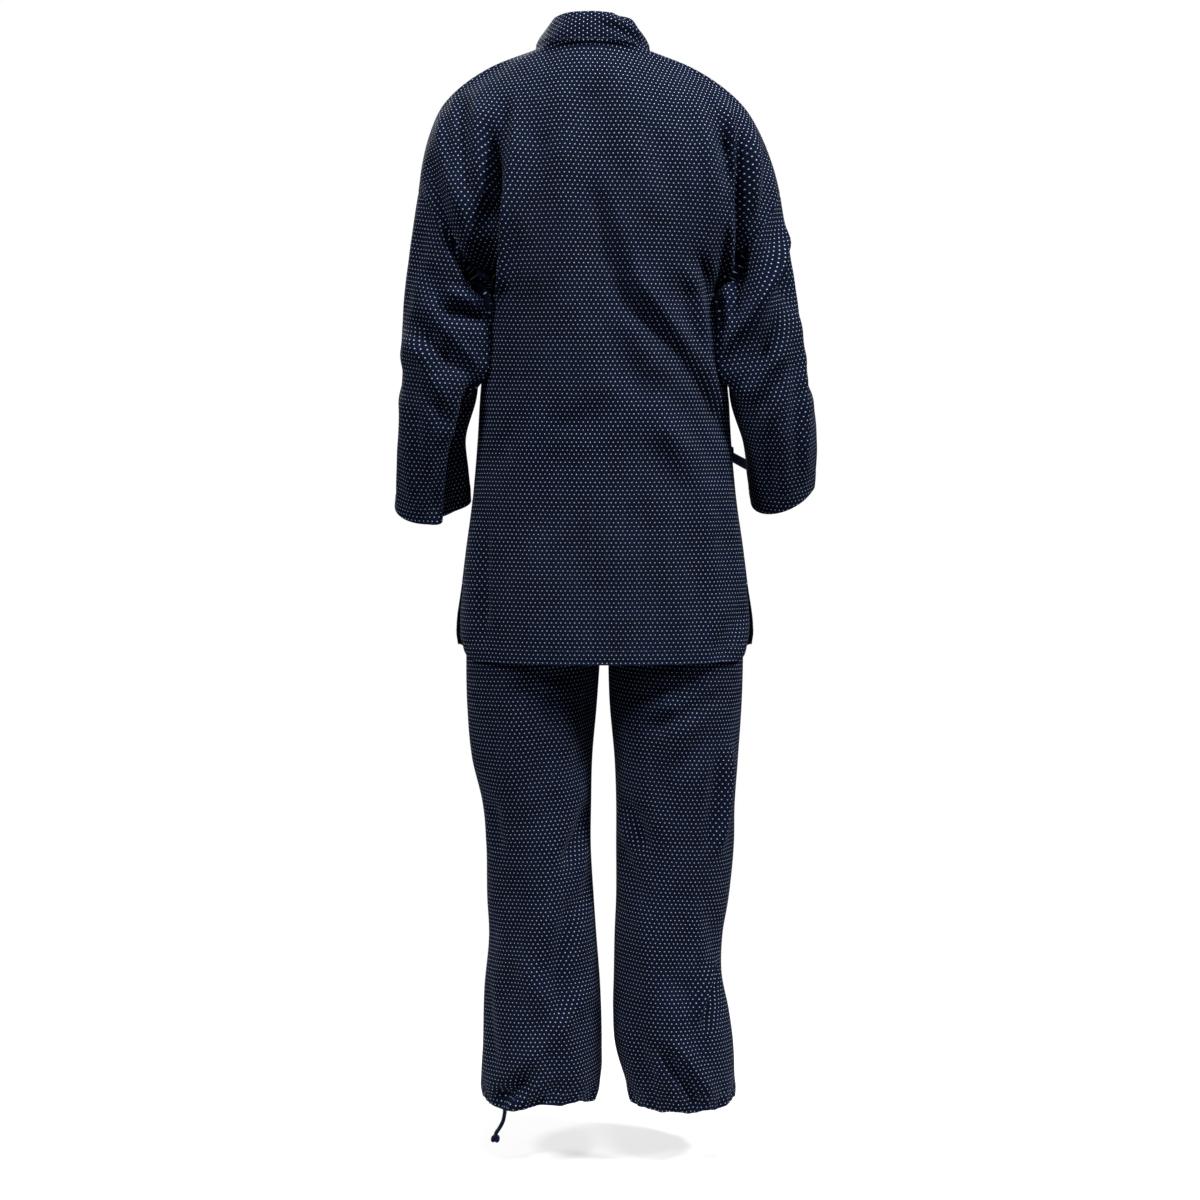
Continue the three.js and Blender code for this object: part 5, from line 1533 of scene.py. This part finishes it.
    def build(self, jacket: Jacket, cotton: bpy.types.Material) -> None:
        """Builds and dresses the tie.

        Args:
            jacket: The jacket that it lies on.
            cotton: The tie's material.
        """
        x, y, z = self.knot
        front = []
        for share in (0, 0.33, 0.67):
            across = mix(jacket.front_edge + 4, x + self.reach, share)
            height = mix(jacket.collar_end - 2, z, share)
            depth = float(jacket.front_y(np.array(across), np.array(height)))
            front.append((across, depth - jacket.layer_step - self.lift, height))
        front.append((x + self.reach, y, z))
        side = []
        for share in (0.99, 0.93, 0.87, 0.81):
            point = FIGURE.oval(FIGURE.torso, np.array(z), np.array(-share), Side.FRONT)
            outward = unit(np.array([point[0], point[1] - float(FIGURE.torso.at("side", z)), 0.0]))
            side.append(tuple(point + outward * (self.cloth + 1)))
        side.append((x - self.reach, y + self.lift, z))
        dress(self.knot_mesh(cotton), Slot.TIE, "tie_knot")
        panels = {
            "tie_from_front": self.strip("tie_from_front_cloth", front, 33),
            "tie_from_side": self.strip("tie_from_side_cloth", side, 41),
            "tie_loop_outer": self.loop("tie_loop_outer_cloth", (-56, -22, -31), 6),
            "tie_loop_inner": self.loop("tie_loop_inner_cloth", (22, -44, -34), 6),
            "tie_tail_outer": self.tail("tie_tail_outer_cloth", (0, 1), (-22, -3), 118),
            "tie_tail_inner": self.tail("tie_tail_inner_cloth", (-1.2, -5.4), (12, -31), 104),
        }
        for node, panel in panels.items():
            panel.find_normals()
            dress_sheet(panel, self.cloth, cotton, Slot.TIE, node)


def closed_tube(points: Array, name: str, finish: bpy.types.Material, places: Array) -> bpy.types.Object:
    """Makes a closed skin over rings of points, its ends drawn together.

    Args:
        points: Rings of points in millimetres, the last point of each on its first.
        name: The object's name.
        finish: Its material.
        places: Places on the flat cloth, for each point.

    Returns:
        The new object.
    """
    rings, columns = points.shape[:2]
    width = columns - 1
    vertices = points[:, :width].reshape(-1, 3)
    ends = [points[0, :width].mean(0), points[-1, :width].mean(0)]
    vertices = np.vstack([vertices, *ends]) * MM
    i, j = (a.ravel() for a in np.meshgrid(np.arange(rings - 1), np.arange(width), indexing="ij"))
    corners = np.stack([[i, i + 1, i + 1, i], [j, j, j + 1, j + 1]], axis=-1).transpose(1, 0, 2)
    faces = corners[..., 0] * width + corners[..., 1] % width
    uvs = places[corners[..., 0], corners[..., 1]]
    around = np.arange(width)
    beside, last_ring = (around + 1) % width, (rings - 1) * width
    top_end, bottom_end = (np.full(width, len(vertices) - k) for k in (2, 1))
    triangles = np.vstack([np.stack([around, beside, top_end], axis=1),
                           np.stack([last_ring + beside, last_ring + around, bottom_end], axis=1)])
    if turned_in(vertices, faces):
        faces, uvs, triangles = faces[:, ::-1], uvs[:, ::-1], triangles[:, ::-1]
    flat = np.vstack([uvs.reshape(-1, 2), np.zeros((3 * len(triangles), 2))]) * MM
    worn = np.zeros(len(vertices))
    return new_mesh(name, vertices, faces.tolist() + triangles.tolist(), finish, flat, worn, creased=False)


# ---------------------------------------------------------------- hem cord


def swept(route: Array, radius: Callable[[Array, Array], Array], sides: int) -> tuple[Array, Array]:
    """Sweeps a round section along a route.

    Args:
        route: Points of the centreline.
        radius: Gives the radius for the length along it and the angle round it.
        sides: Sides of the section.

    Returns:
        Rings of points, and their lengths along and round the cord.
    """
    tangent = unit(np.gradient(route, axis=0))
    side = unit(np.cross(tangent[0], np.array([0.31, 0.2, 0.93])))
    frames = []
    for direction in tangent:
        side = unit(side - direction * (side @ direction))
        frames.append((side, np.cross(direction, side)))
    along = running_length(route[:, None], 0)
    angle = np.linspace(0, 2 * math.pi, sides + 1)[None]
    size = radius(along, angle)
    first, second = (np.array([pair[k] for pair in frames])[:, None] for k in (0, 1))
    around = np.cos(angle)[..., None] * first + np.sin(angle)[..., None] * second
    rings = route[:, None] + around * size[..., None]
    places = np.stack(np.broadcast_arrays(angle * size.mean(), -along), axis=-1)
    return rings, places


@dataclass
class HemCord:
    """The drawcord's free end at the wearer's left ankle, with the knot at its tip."""

    diameter: float = 5.5
    strands: int = 5
    relief: float = 0.16
    lay_length: float = 11
    route: tuple[tuple[float, float, float], ...] = (
        (133.5, 18.9, -1414.6), (134.1, 20.5, -1421), (136.5, 23, -1430), (141, 25, -1438), (145, 26, -1444))
    knot_radius: float = 6
    knot_height: float = 12
    knot_below: float = 1.2
    tuck: tuple[float, float, float] = (0.8, 0.0, -4.0)

    def braid(self, along: Array, angle: Array) -> Array:
        """Returns the braided cord's radius, raised where a strand lies on top."""
        turn = along * 2 * math.pi / self.lay_length
        weave = np.sin(self.strands * angle / 2 + turn * 2) * np.sin(self.strands * angle / 2 - turn * 2)
        return self.diameter / 2 - self.relief + self.relief * weave

    def build(self, cotton: bpy.types.Material) -> None:
        """Builds and dresses the cord and its knot.

        Args:
            cotton: The cord's material.
        """
        bends = FIGURE.stand(np.array(self.route, float))
        line = curve_through(np.vstack([bends, bends[-1] + np.array(self.tuck)]), np.linspace(0, 1, 91))
        rings, places = swept(line, self.braid, 30)
        cord = dress(closed_tube(rings, "hem_cord_braid", cotton, places), Slot.TIE, "hem_cord")
        turn = np.linspace(0, 2 * math.pi, 121)
        size, tall = self.knot_radius - self.diameter / 2, self.knot_height / 2 - self.diameter / 2
        loops = stack(size * (np.sin(turn) + 1.1 * np.sin(2 * turn)) / 1.6,
                      size * (np.cos(turn) - 1.1 * np.cos(2 * turn)) / 1.6, -tall * np.sin(3 * turn) * 0.9)
        centre = bends[-1] + np.array([1, 0, -self.knot_height / 2 - self.knot_below])
        rings, places = swept(loops[:-1] + centre, lambda along, angle: self.braid(along, angle) * 0.86, 24)
        knot = dress(closed_tube(rings, "hem_cord_knot_braid", cotton, places), Slot.TIE, "hem_cord_knot")
        length = float(running_length(line[:, None], 0)[-1, 0]) * MM
        LOG.info("hem cord: %.1f mm long", length / MM)


# ---------------------------------------------------------------- stitching


@dataclass
class Stitching:
    """Lines of running stitches, laid by Geometry Nodes along edges of the cloth."""

    pitch: float = 4.2
    length: float = 3.1
    thread: float = 0.55
    stand_off: float = 0.12
    paths: list[Array] = field(default_factory=list)

    def add(self, points: Array, normals: Array) -> None:
        """Adds a line of stitches, lying on the cloth."""
        self.paths.append(FIGURE.stand(points + normals * self.stand_off) * MM)

    def tree(self, finish: bpy.types.Material) -> bpy.types.NodeTree:
        """Builds the node tree that lays the stitches.

        Args:
            finish: The thread's material.

        Returns:
            The tree.
        """
        tree = bpy.data.node_groups.new("running_stitch", "GeometryNodeTree")
        add = partial(add_node, tree)
        face = tree.interface
        face.new_socket("Geometry", in_out="INPUT", socket_type="NodeSocketGeometry")
        for name in ("Pitch", "Stitch length", "Thread diameter"):
            face.new_socket(name, in_out="INPUT", socket_type="NodeSocketFloat")
        face.new_socket("Geometry", in_out="OUTPUT", socket_type="NodeSocketGeometry")
        source = add("NodeGroupInput")
        curve = add("GeometryNodeMeshToCurve", Mesh=source.outputs["Geometry"])
        even = add("GeometryNodeResampleCurve", {"mode": "LENGTH"}, Curve=curve.outputs["Curve"],
                   Length=source.outputs["Pitch"])
        bead = add("GeometryNodeMeshUVSphere", Segments=6, Rings=4, Radius=0.5)
        size = add("ShaderNodeCombineXYZ", X=source.outputs["Stitch length"],
                   Y=source.outputs["Thread diameter"], Z=source.outputs["Thread diameter"])
        along = add("GeometryNodeInputTangent")
        turn = add("FunctionNodeAlignRotationToVector", {"axis": "X"}, Vector=along.outputs["Tangent"])
        placed = add("GeometryNodeInstanceOnPoints", Points=even.outputs["Curve"],
                     Instance=bead.outputs["Mesh"], Rotation=turn.outputs["Rotation"],
                     Scale=size.outputs["Vector"])
        whole = add("GeometryNodeRealizeInstances", Geometry=placed.outputs["Instances"])
        smooth = add("GeometryNodeSetShadeSmooth", Geometry=whole.outputs["Geometry"])
        dyed = add("GeometryNodeSetMaterial", Geometry=smooth.outputs["Geometry"], Material=finish)
        add("NodeGroupOutput", Geometry=dyed.outputs["Geometry"])
        return tree

    def build(self, finish: bpy.types.Material) -> None:
        """Lays the stitches and dresses them as one piece.

        Args:
            finish: The thread's material.
        """
        edges, start = [], 0
        for path in self.paths:
            edges += [(start + k, start + k + 1) for k in range(len(path) - 1)]
            start += len(path)
        mesh = bpy.data.meshes.new("stitch_lines")
        mesh.from_pydata(np.concatenate(self.paths).tolist(), edges, [])
        lines = new_object("stitch_lines", mesh)
        maker = lines.modifiers.new("stitches", "NODES")
        maker.node_group = self.tree(finish)
        sizes = {"Pitch": self.pitch, "Stitch length": self.length, "Thread diameter": self.thread}
        for socket in maker.node_group.interface.items_tree:
            if socket.name in sizes:
                maker[socket.identifier] = sizes[socket.name] * MM
        seen = lines.evaluated_get(bpy.context.evaluated_depsgraph_get())
        made = new_object("seam_stitches", bpy.data.meshes.new_from_object(seen))
        bpy.data.objects.remove(lines)
        dress(made, Slot.CLOTH)


# ---------------------------------------------------------------- finishes


def linear(code: str) -> tuple[float, float, float, float]:
    """Returns the linear colour of an sRGB hex code."""
    parts = [int(code[k:k + 2], 16) / 255 for k in (1, 3, 5)]
    return (*((p / 12.92 if p <= 0.04045 else ((p + 0.055) / 1.055) ** 2.4) for p in parts), 1.0)


def add_node(tree: bpy.types.NodeTree, kind: str, settings: dict | None = None,
             **inputs: object) -> bpy.types.Node:
    """Adds a node with its settings, values and links.

    Args:
        tree: The tree that it goes into.
        kind: The node's type.
        settings: Properties of the node.
        inputs: Values or output sockets for its inputs, by name, with _ for a space or i0, i1 by number.

    Returns:
        The node.
    """
    node = tree.nodes.new(kind)
    for name, value in (settings or {}).items():
        setattr(node, name, value)
    for name, value in inputs.items():
        numbered = name[0] == "i" and name[1:].isdigit()
        socket = node.inputs[int(name[1:]) if numbered else name.replace("_", " ")]
        if isinstance(value, bpy.types.NodeSocket):
            tree.links.new(value, socket)
        else:
            socket.default_value = value
    return node


def new_material(name: str) -> tuple[bpy.types.Material, bpy.types.NodeTree, bpy.types.Node]:
    """Returns a new material, its tree and its shader."""
    material = bpy.data.materials.new(name)
    material.use_nodes = True
    tree = material.node_tree
    return material, tree, tree.nodes["Principled BSDF"]


@dataclass(frozen=True)
class DottedCotton:
    """Plain-woven slub cotton, dyed indigo and printed with small pale dots in staggered rows.

    The dye is uneven along the slubs, the surface is matt with a soft bluish bloom at grazing angles, and the
    edges are worn paler.
    """

    name: str = "indigo_dotted_cotton"
    dye: str = "#071129"
    deep_dye: str = "#040B1A"
    worn_dye: str = "#1B2A4D"
    dot: str = "#E6EDF9"
    dot_pitch: float = 6.0
    row_pitch: float = 5.25
    dot_size: float = 1.25
    dot_outside: float = 0.15
    dot_inside: float = 0.25
    roughness: float = 0.82
    sheen: float = 0.03
    sheen_tint: str = "#6C86C8"
    thread: float = 1.1
    dotted: bool = True
    slub_scale: tuple[float, float, float] = (0.03, 0.9, 1.0)
    patch_scale: float = 0.018
    patchiness: float = 0.35
    wear: float = 0.45
    weave_relief: float = 0.00025
    specular: float = 0.05
    sheen_roughness: float = 0.45

    def dots(self, tree: bpy.types.NodeTree, place: bpy.types.NodeSocket) -> bpy.types.NodeSocket:
        """Draws the dots.

        Args:
            tree: The material's tree.
            place: Place on the flat cloth, in millimetres.

        Returns:
            1 on a dot and 0 between them.
        """
        add = partial(add_node, tree)
        wide, tall = self.dot_pitch, 2 * self.row_pitch
        gaps = []
        for shift in ((0.0, 0.0, 0.0), (wide / 2, tall / 2, 0.0)):
            step = place
            for operation, value in (("ADD", shift), ("DIVIDE", (wide, tall, 1.0)), ("FRACTION", None),
                                     ("SUBTRACT", (0.5, 0.5, 0.0)), ("MULTIPLY", (wide, tall, 0.0))):
                given = {"i0": step} if value is None else {"i0": step, "i1": value}
                step = add("ShaderNodeVectorMath", {"operation": operation}, **given).outputs[0]
            gaps.append(add("ShaderNodeVectorMath", {"operation": "LENGTH"}, i0=step))
        nearest = add("ShaderNodeMath", {"operation": "MINIMUM"}, i0=gaps[0].outputs["Value"],
                      i1=gaps[1].outputs["Value"])
        radius = self.dot_size / 2
        edge = add("ShaderNodeMapRange", {"interpolation_type": "SMOOTHSTEP"}, Value=nearest.outputs[0],
                   From_Min=radius + self.dot_outside, From_Max=radius - self.dot_inside)
        return edge.outputs["Result"]

    def build(self) -> bpy.types.Material:
        """Returns the material."""
        material, tree, shader = new_material(self.name)
        add = partial(add_node, tree)
        flat = add("ShaderNodeUVMap", {"uv_map": "flat_cloth"})
        place = add("ShaderNodeVectorMath", {"operation": "SCALE"}, i0=flat.outputs[0], Scale=1 / MM)
        millimetres = place.outputs[0]
        slub_place = add("ShaderNodeVectorMath", {"operation": "MULTIPLY"}, i0=millimetres,
                         i1=self.slub_scale)
        slub = add("ShaderNodeTexNoise", Vector=slub_place.outputs[0], Scale=1.0, Detail=2.0)
        broad = add("ShaderNodeTexNoise", Vector=millimetres, Scale=self.patch_scale, Detail=3.0)
        dye = add("ShaderNodeMapRange", Value=slub.outputs["Fac"], From_Min=0.3, From_Max=0.75)
        base = add("ShaderNodeMix", {"data_type": "RGBA"}, i0=dye.outputs["Result"],
                   i6=linear(self.deep_dye), i7=linear(self.dye))
        worn = add("ShaderNodeAttribute", {"attribute_name": "fade"})
        patchy = add("ShaderNodeMath", {"operation": "MULTIPLY_ADD"}, i0=broad.outputs["Fac"],
                     i1=self.patchiness, i2=-0.12)
        amount = add("ShaderNodeMath", {"operation": "MULTIPLY_ADD", "use_clamp": True},
                     i0=worn.outputs["Fac"], i1=self.wear, i2=patchy.outputs[0])
        colour = add("ShaderNodeMix", {"data_type": "RGBA"}, i0=amount.outputs[0], i6=base.outputs[2],
                     i7=linear(self.worn_dye)).outputs[2]
        if self.dotted:
            spots = self.dots(tree, millimetres)
            fibre = add("ShaderNodeTexNoise", Vector=millimetres, Scale=0.9, Detail=1.0)
            strength = add("ShaderNodeMapRange", Value=fibre.outputs["Fac"], From_Min=0.25, From_Max=0.7,
                           To_Min=0.65, To_Max=1.0)
            mask = add("ShaderNodeMath", {"operation": "MULTIPLY"}, i0=spots, i1=strength.outputs[0])
            colour = add("ShaderNodeMix", {"data_type": "RGBA"}, i0=mask.outputs[0], i6=colour,
                         i7=linear(self.dot)).outputs[2]
        tree.links.new(colour, shader.inputs["Base Color"])
        # The threads are drawn about three times as wide as they are, so that they show.
        threads = add("ShaderNodeVectorMath", {"operation": "SCALE"}, i0=millimetres, Scale=1 / self.thread)
        warp, weft = (add("ShaderNodeTexWave", {"bands_direction": way}, Vector=threads.outputs[0], Scale=1.0,
                          Distortion=0.6) for way in ("X", "Y"))
        cross = add("ShaderNodeMath", {"operation": "MAXIMUM"}, i0=warp.outputs["Fac"],
                    i1=weft.outputs["Fac"])
        height = add("ShaderNodeMath", {"operation": "ADD"}, i0=cross.outputs[0], i1=slub.outputs["Fac"])
        bump = add("ShaderNodeBump", Height=height.outputs[0], Strength=0.35, Distance=self.weave_relief)
        tree.links.new(bump.outputs["Normal"], shader.inputs["Normal"])
        looks = {"Roughness": self.roughness, "Specular IOR Level": self.specular, "Sheen Weight": self.sheen,
                 "Sheen Roughness": self.sheen_roughness, "Sheen Tint": linear(self.sheen_tint)}
        for name, value in looks.items():
            shader.inputs[name].default_value = value
        return material


@dataclass(frozen=True)
class SpunThread:
    """Spun polyester sewing thread in navy, with a low gloss and the fine twist of its plies."""

    name: str = "navy_spun_thread"
    dye: str = "#1B2740"
    light: str = "#2C3B5C"
    twist: float = 0.9

    def build(self) -> bpy.types.Material:
        """Returns the material."""
        material, tree, shader = new_material(self.name)
        add = partial(add_node, tree)
        place = add("ShaderNodeTexCoord")
        ply = add("ShaderNodeTexNoise", Vector=place.outputs["Object"], Scale=1 / (self.twist * MM))
        colour = add("ShaderNodeMix", {"data_type": "RGBA"}, i0=ply.outputs["Fac"], i6=linear(self.dye),
                     i7=linear(self.light))
        tree.links.new(colour.outputs[2], shader.inputs["Base Color"])
        shader.inputs["Roughness"].default_value = 0.6
        return material


@dataclass(frozen=True)
class PaleFloor:
    """Matt white studio floor with a faint unevenness, fading out at its edge."""

    fade: tuple[float, float]
    name: str = "matt_studio_floor"
    pale: str = "#F8F8F8"
    shade: str = "#F3F3F3"
    cover: float = 0.5

    def build(self) -> bpy.types.Material:
        """Returns the material."""
        material, tree, shader = new_material(self.name)
        add = partial(add_node, tree)
        place = add("ShaderNodeTexCoord")
        cloud = add("ShaderNodeTexNoise", Vector=place.outputs["Object"], Scale=0.6)
        colour = add("ShaderNodeMix", {"data_type": "RGBA"}, i0=cloud.outputs["Fac"], i6=linear(self.shade),
                     i7=linear(self.pale))
        tree.links.new(colour.outputs[2], shader.inputs["Base Color"])
        shader.inputs["Roughness"].default_value = 0.9
        reach = add("ShaderNodeVectorMath", {"operation": "MULTIPLY"}, i0=place.outputs["Object"],
                    i1=(1, 1, 0))
        away = add("ShaderNodeVectorMath", {"operation": "LENGTH"}, i0=reach.outputs[0])
        start, end = self.fade
        solid = add("ShaderNodeMapRange", {"interpolation_type": "SMOOTHSTEP"}, Value=away.outputs["Value"],
                    From_Min=start, From_Max=end, To_Min=self.cover, To_Max=0.0)
        tree.links.new(solid.outputs["Result"], shader.inputs["Alpha"])
        return material


# ---------------------------------------------------------------- studio


@dataclass
class Studio:
    """Camera, soft lights and floor, in metres."""

    camera_place: tuple[float, float, float] = (-0.009, 3.603, -0.385)
    look_down: float = 5.5
    lens: float = 82.35
    sensor: float = 36
    floor_z: float = -1.49
    floor_size: float = 3.2
    floor_fade: tuple[float, float] = (0.4, 1.1)
    sky: float = 0.052
    lights: tuple[tuple[str, tuple[float, float, float], float, float], ...] = (
        ("key", (-3.6, 2.0, 3.4), 1.0, 370.0),
        ("second", (3.8, 2.2, 2.8), 1.4, 200.0),
        ("high", (-0.5, 1.9, 4.2), 1.4, 125.0),
        ("front", (1.4, -3.2, 1.5), 1.6, 190.0),
        ("top", (-0.4, 0.3, 2.4), 1.2, 16.0),
    )
    aim: tuple[float, float, float] = (0.0, 0.0, -0.7)

    def camera(self) -> None:
        """Makes the camera."""
        data = bpy.data.cameras.new("camera")
        data.lens = self.lens
        data.sensor_width = self.sensor
        made = new_object("camera", data)
        made.location = self.camera_place
        made.rotation_euler = (math.radians(90 - self.look_down), 0, math.pi)
        bpy.context.scene.camera = made

    def light(self) -> None:
        """Makes the lights and the sky."""
        for name, place, size, power in self.lights:
            data = bpy.data.lights.new(name, "AREA")
            data.shape = "DISK"
            data.size = size
            data.energy = power
            made = new_object(name, data)
            made.location = place
            made.rotation_euler = (Vector(self.aim) - Vector(place)).to_track_quat("-Z", "Y").to_euler()
        world = bpy.data.worlds.new("sky")
        world.use_nodes = True
        tree = world.node_tree
        tree.nodes.clear()
        add = partial(add_node, tree)
        seen = add("ShaderNodeLightPath")
        strength = add("ShaderNodeMapRange", Value=seen.outputs["Is Camera Ray"], To_Min=self.sky,
                       To_Max=1.0)
        glow = add("ShaderNodeBackground", Color=(1, 1, 1, 1), Strength=strength.outputs["Result"])
        add("ShaderNodeOutputWorld", Surface=glow.outputs[0])
        bpy.context.scene.world = world
        bpy.context.scene.view_settings.view_transform = "Standard"

    def floor(self) -> None:
        """Makes the floor."""
        half = self.floor_size / 2
        corners = [(-half, -half, self.floor_z), (half, -half, self.floor_z), (half, half, self.floor_z),
                   (-half, half, self.floor_z)]
        mesh = bpy.data.meshes.new("floor")
        mesh.from_pydata(corners, [], [(0, 1, 2, 3)])
        mesh.materials.append(PaleFloor(fade=self.floor_fade).build())
        new_object("floor", mesh)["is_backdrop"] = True


def write_sizes() -> None:
    """Gathers the CAD box and the visual model's box as lists."""
    boxes = {"cad": CAD_BOX, "visual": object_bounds()}
    plain = {name: [list(corner) for corner in box] for name, box in boxes.items()}


def main() -> None:
    """Builds the studio and the garment."""
    logging.basicConfig(level=logging.INFO, format="%(message)s")
    studio = Studio()
    studio.camera()
    cord_cotton = DottedCotton(name="braided_cord_cotton", dye="#141F38", dotted=False, thread=0.9).build()
    HemCord().build(cord_cotton)
    cotton = DottedCotton().build()
    tie_cotton = DottedCotton(name="plain_tie_cotton", dye="#0A1020", deep_dye="#070B17", worn_dye="#1A2338",
                              dotted=False).build()
    stitches = Stitching()
    jacket = Jacket()
    jacket.build(cotton, stitches)
    Trousers().build(cotton, stitches)
    SideTie().build(jacket, tie_cotton)
    stitches.build(SpunThread().build())
    studio.light()
    studio.floor()


if __name__ == "__main__":
    main()
    write_sizes()
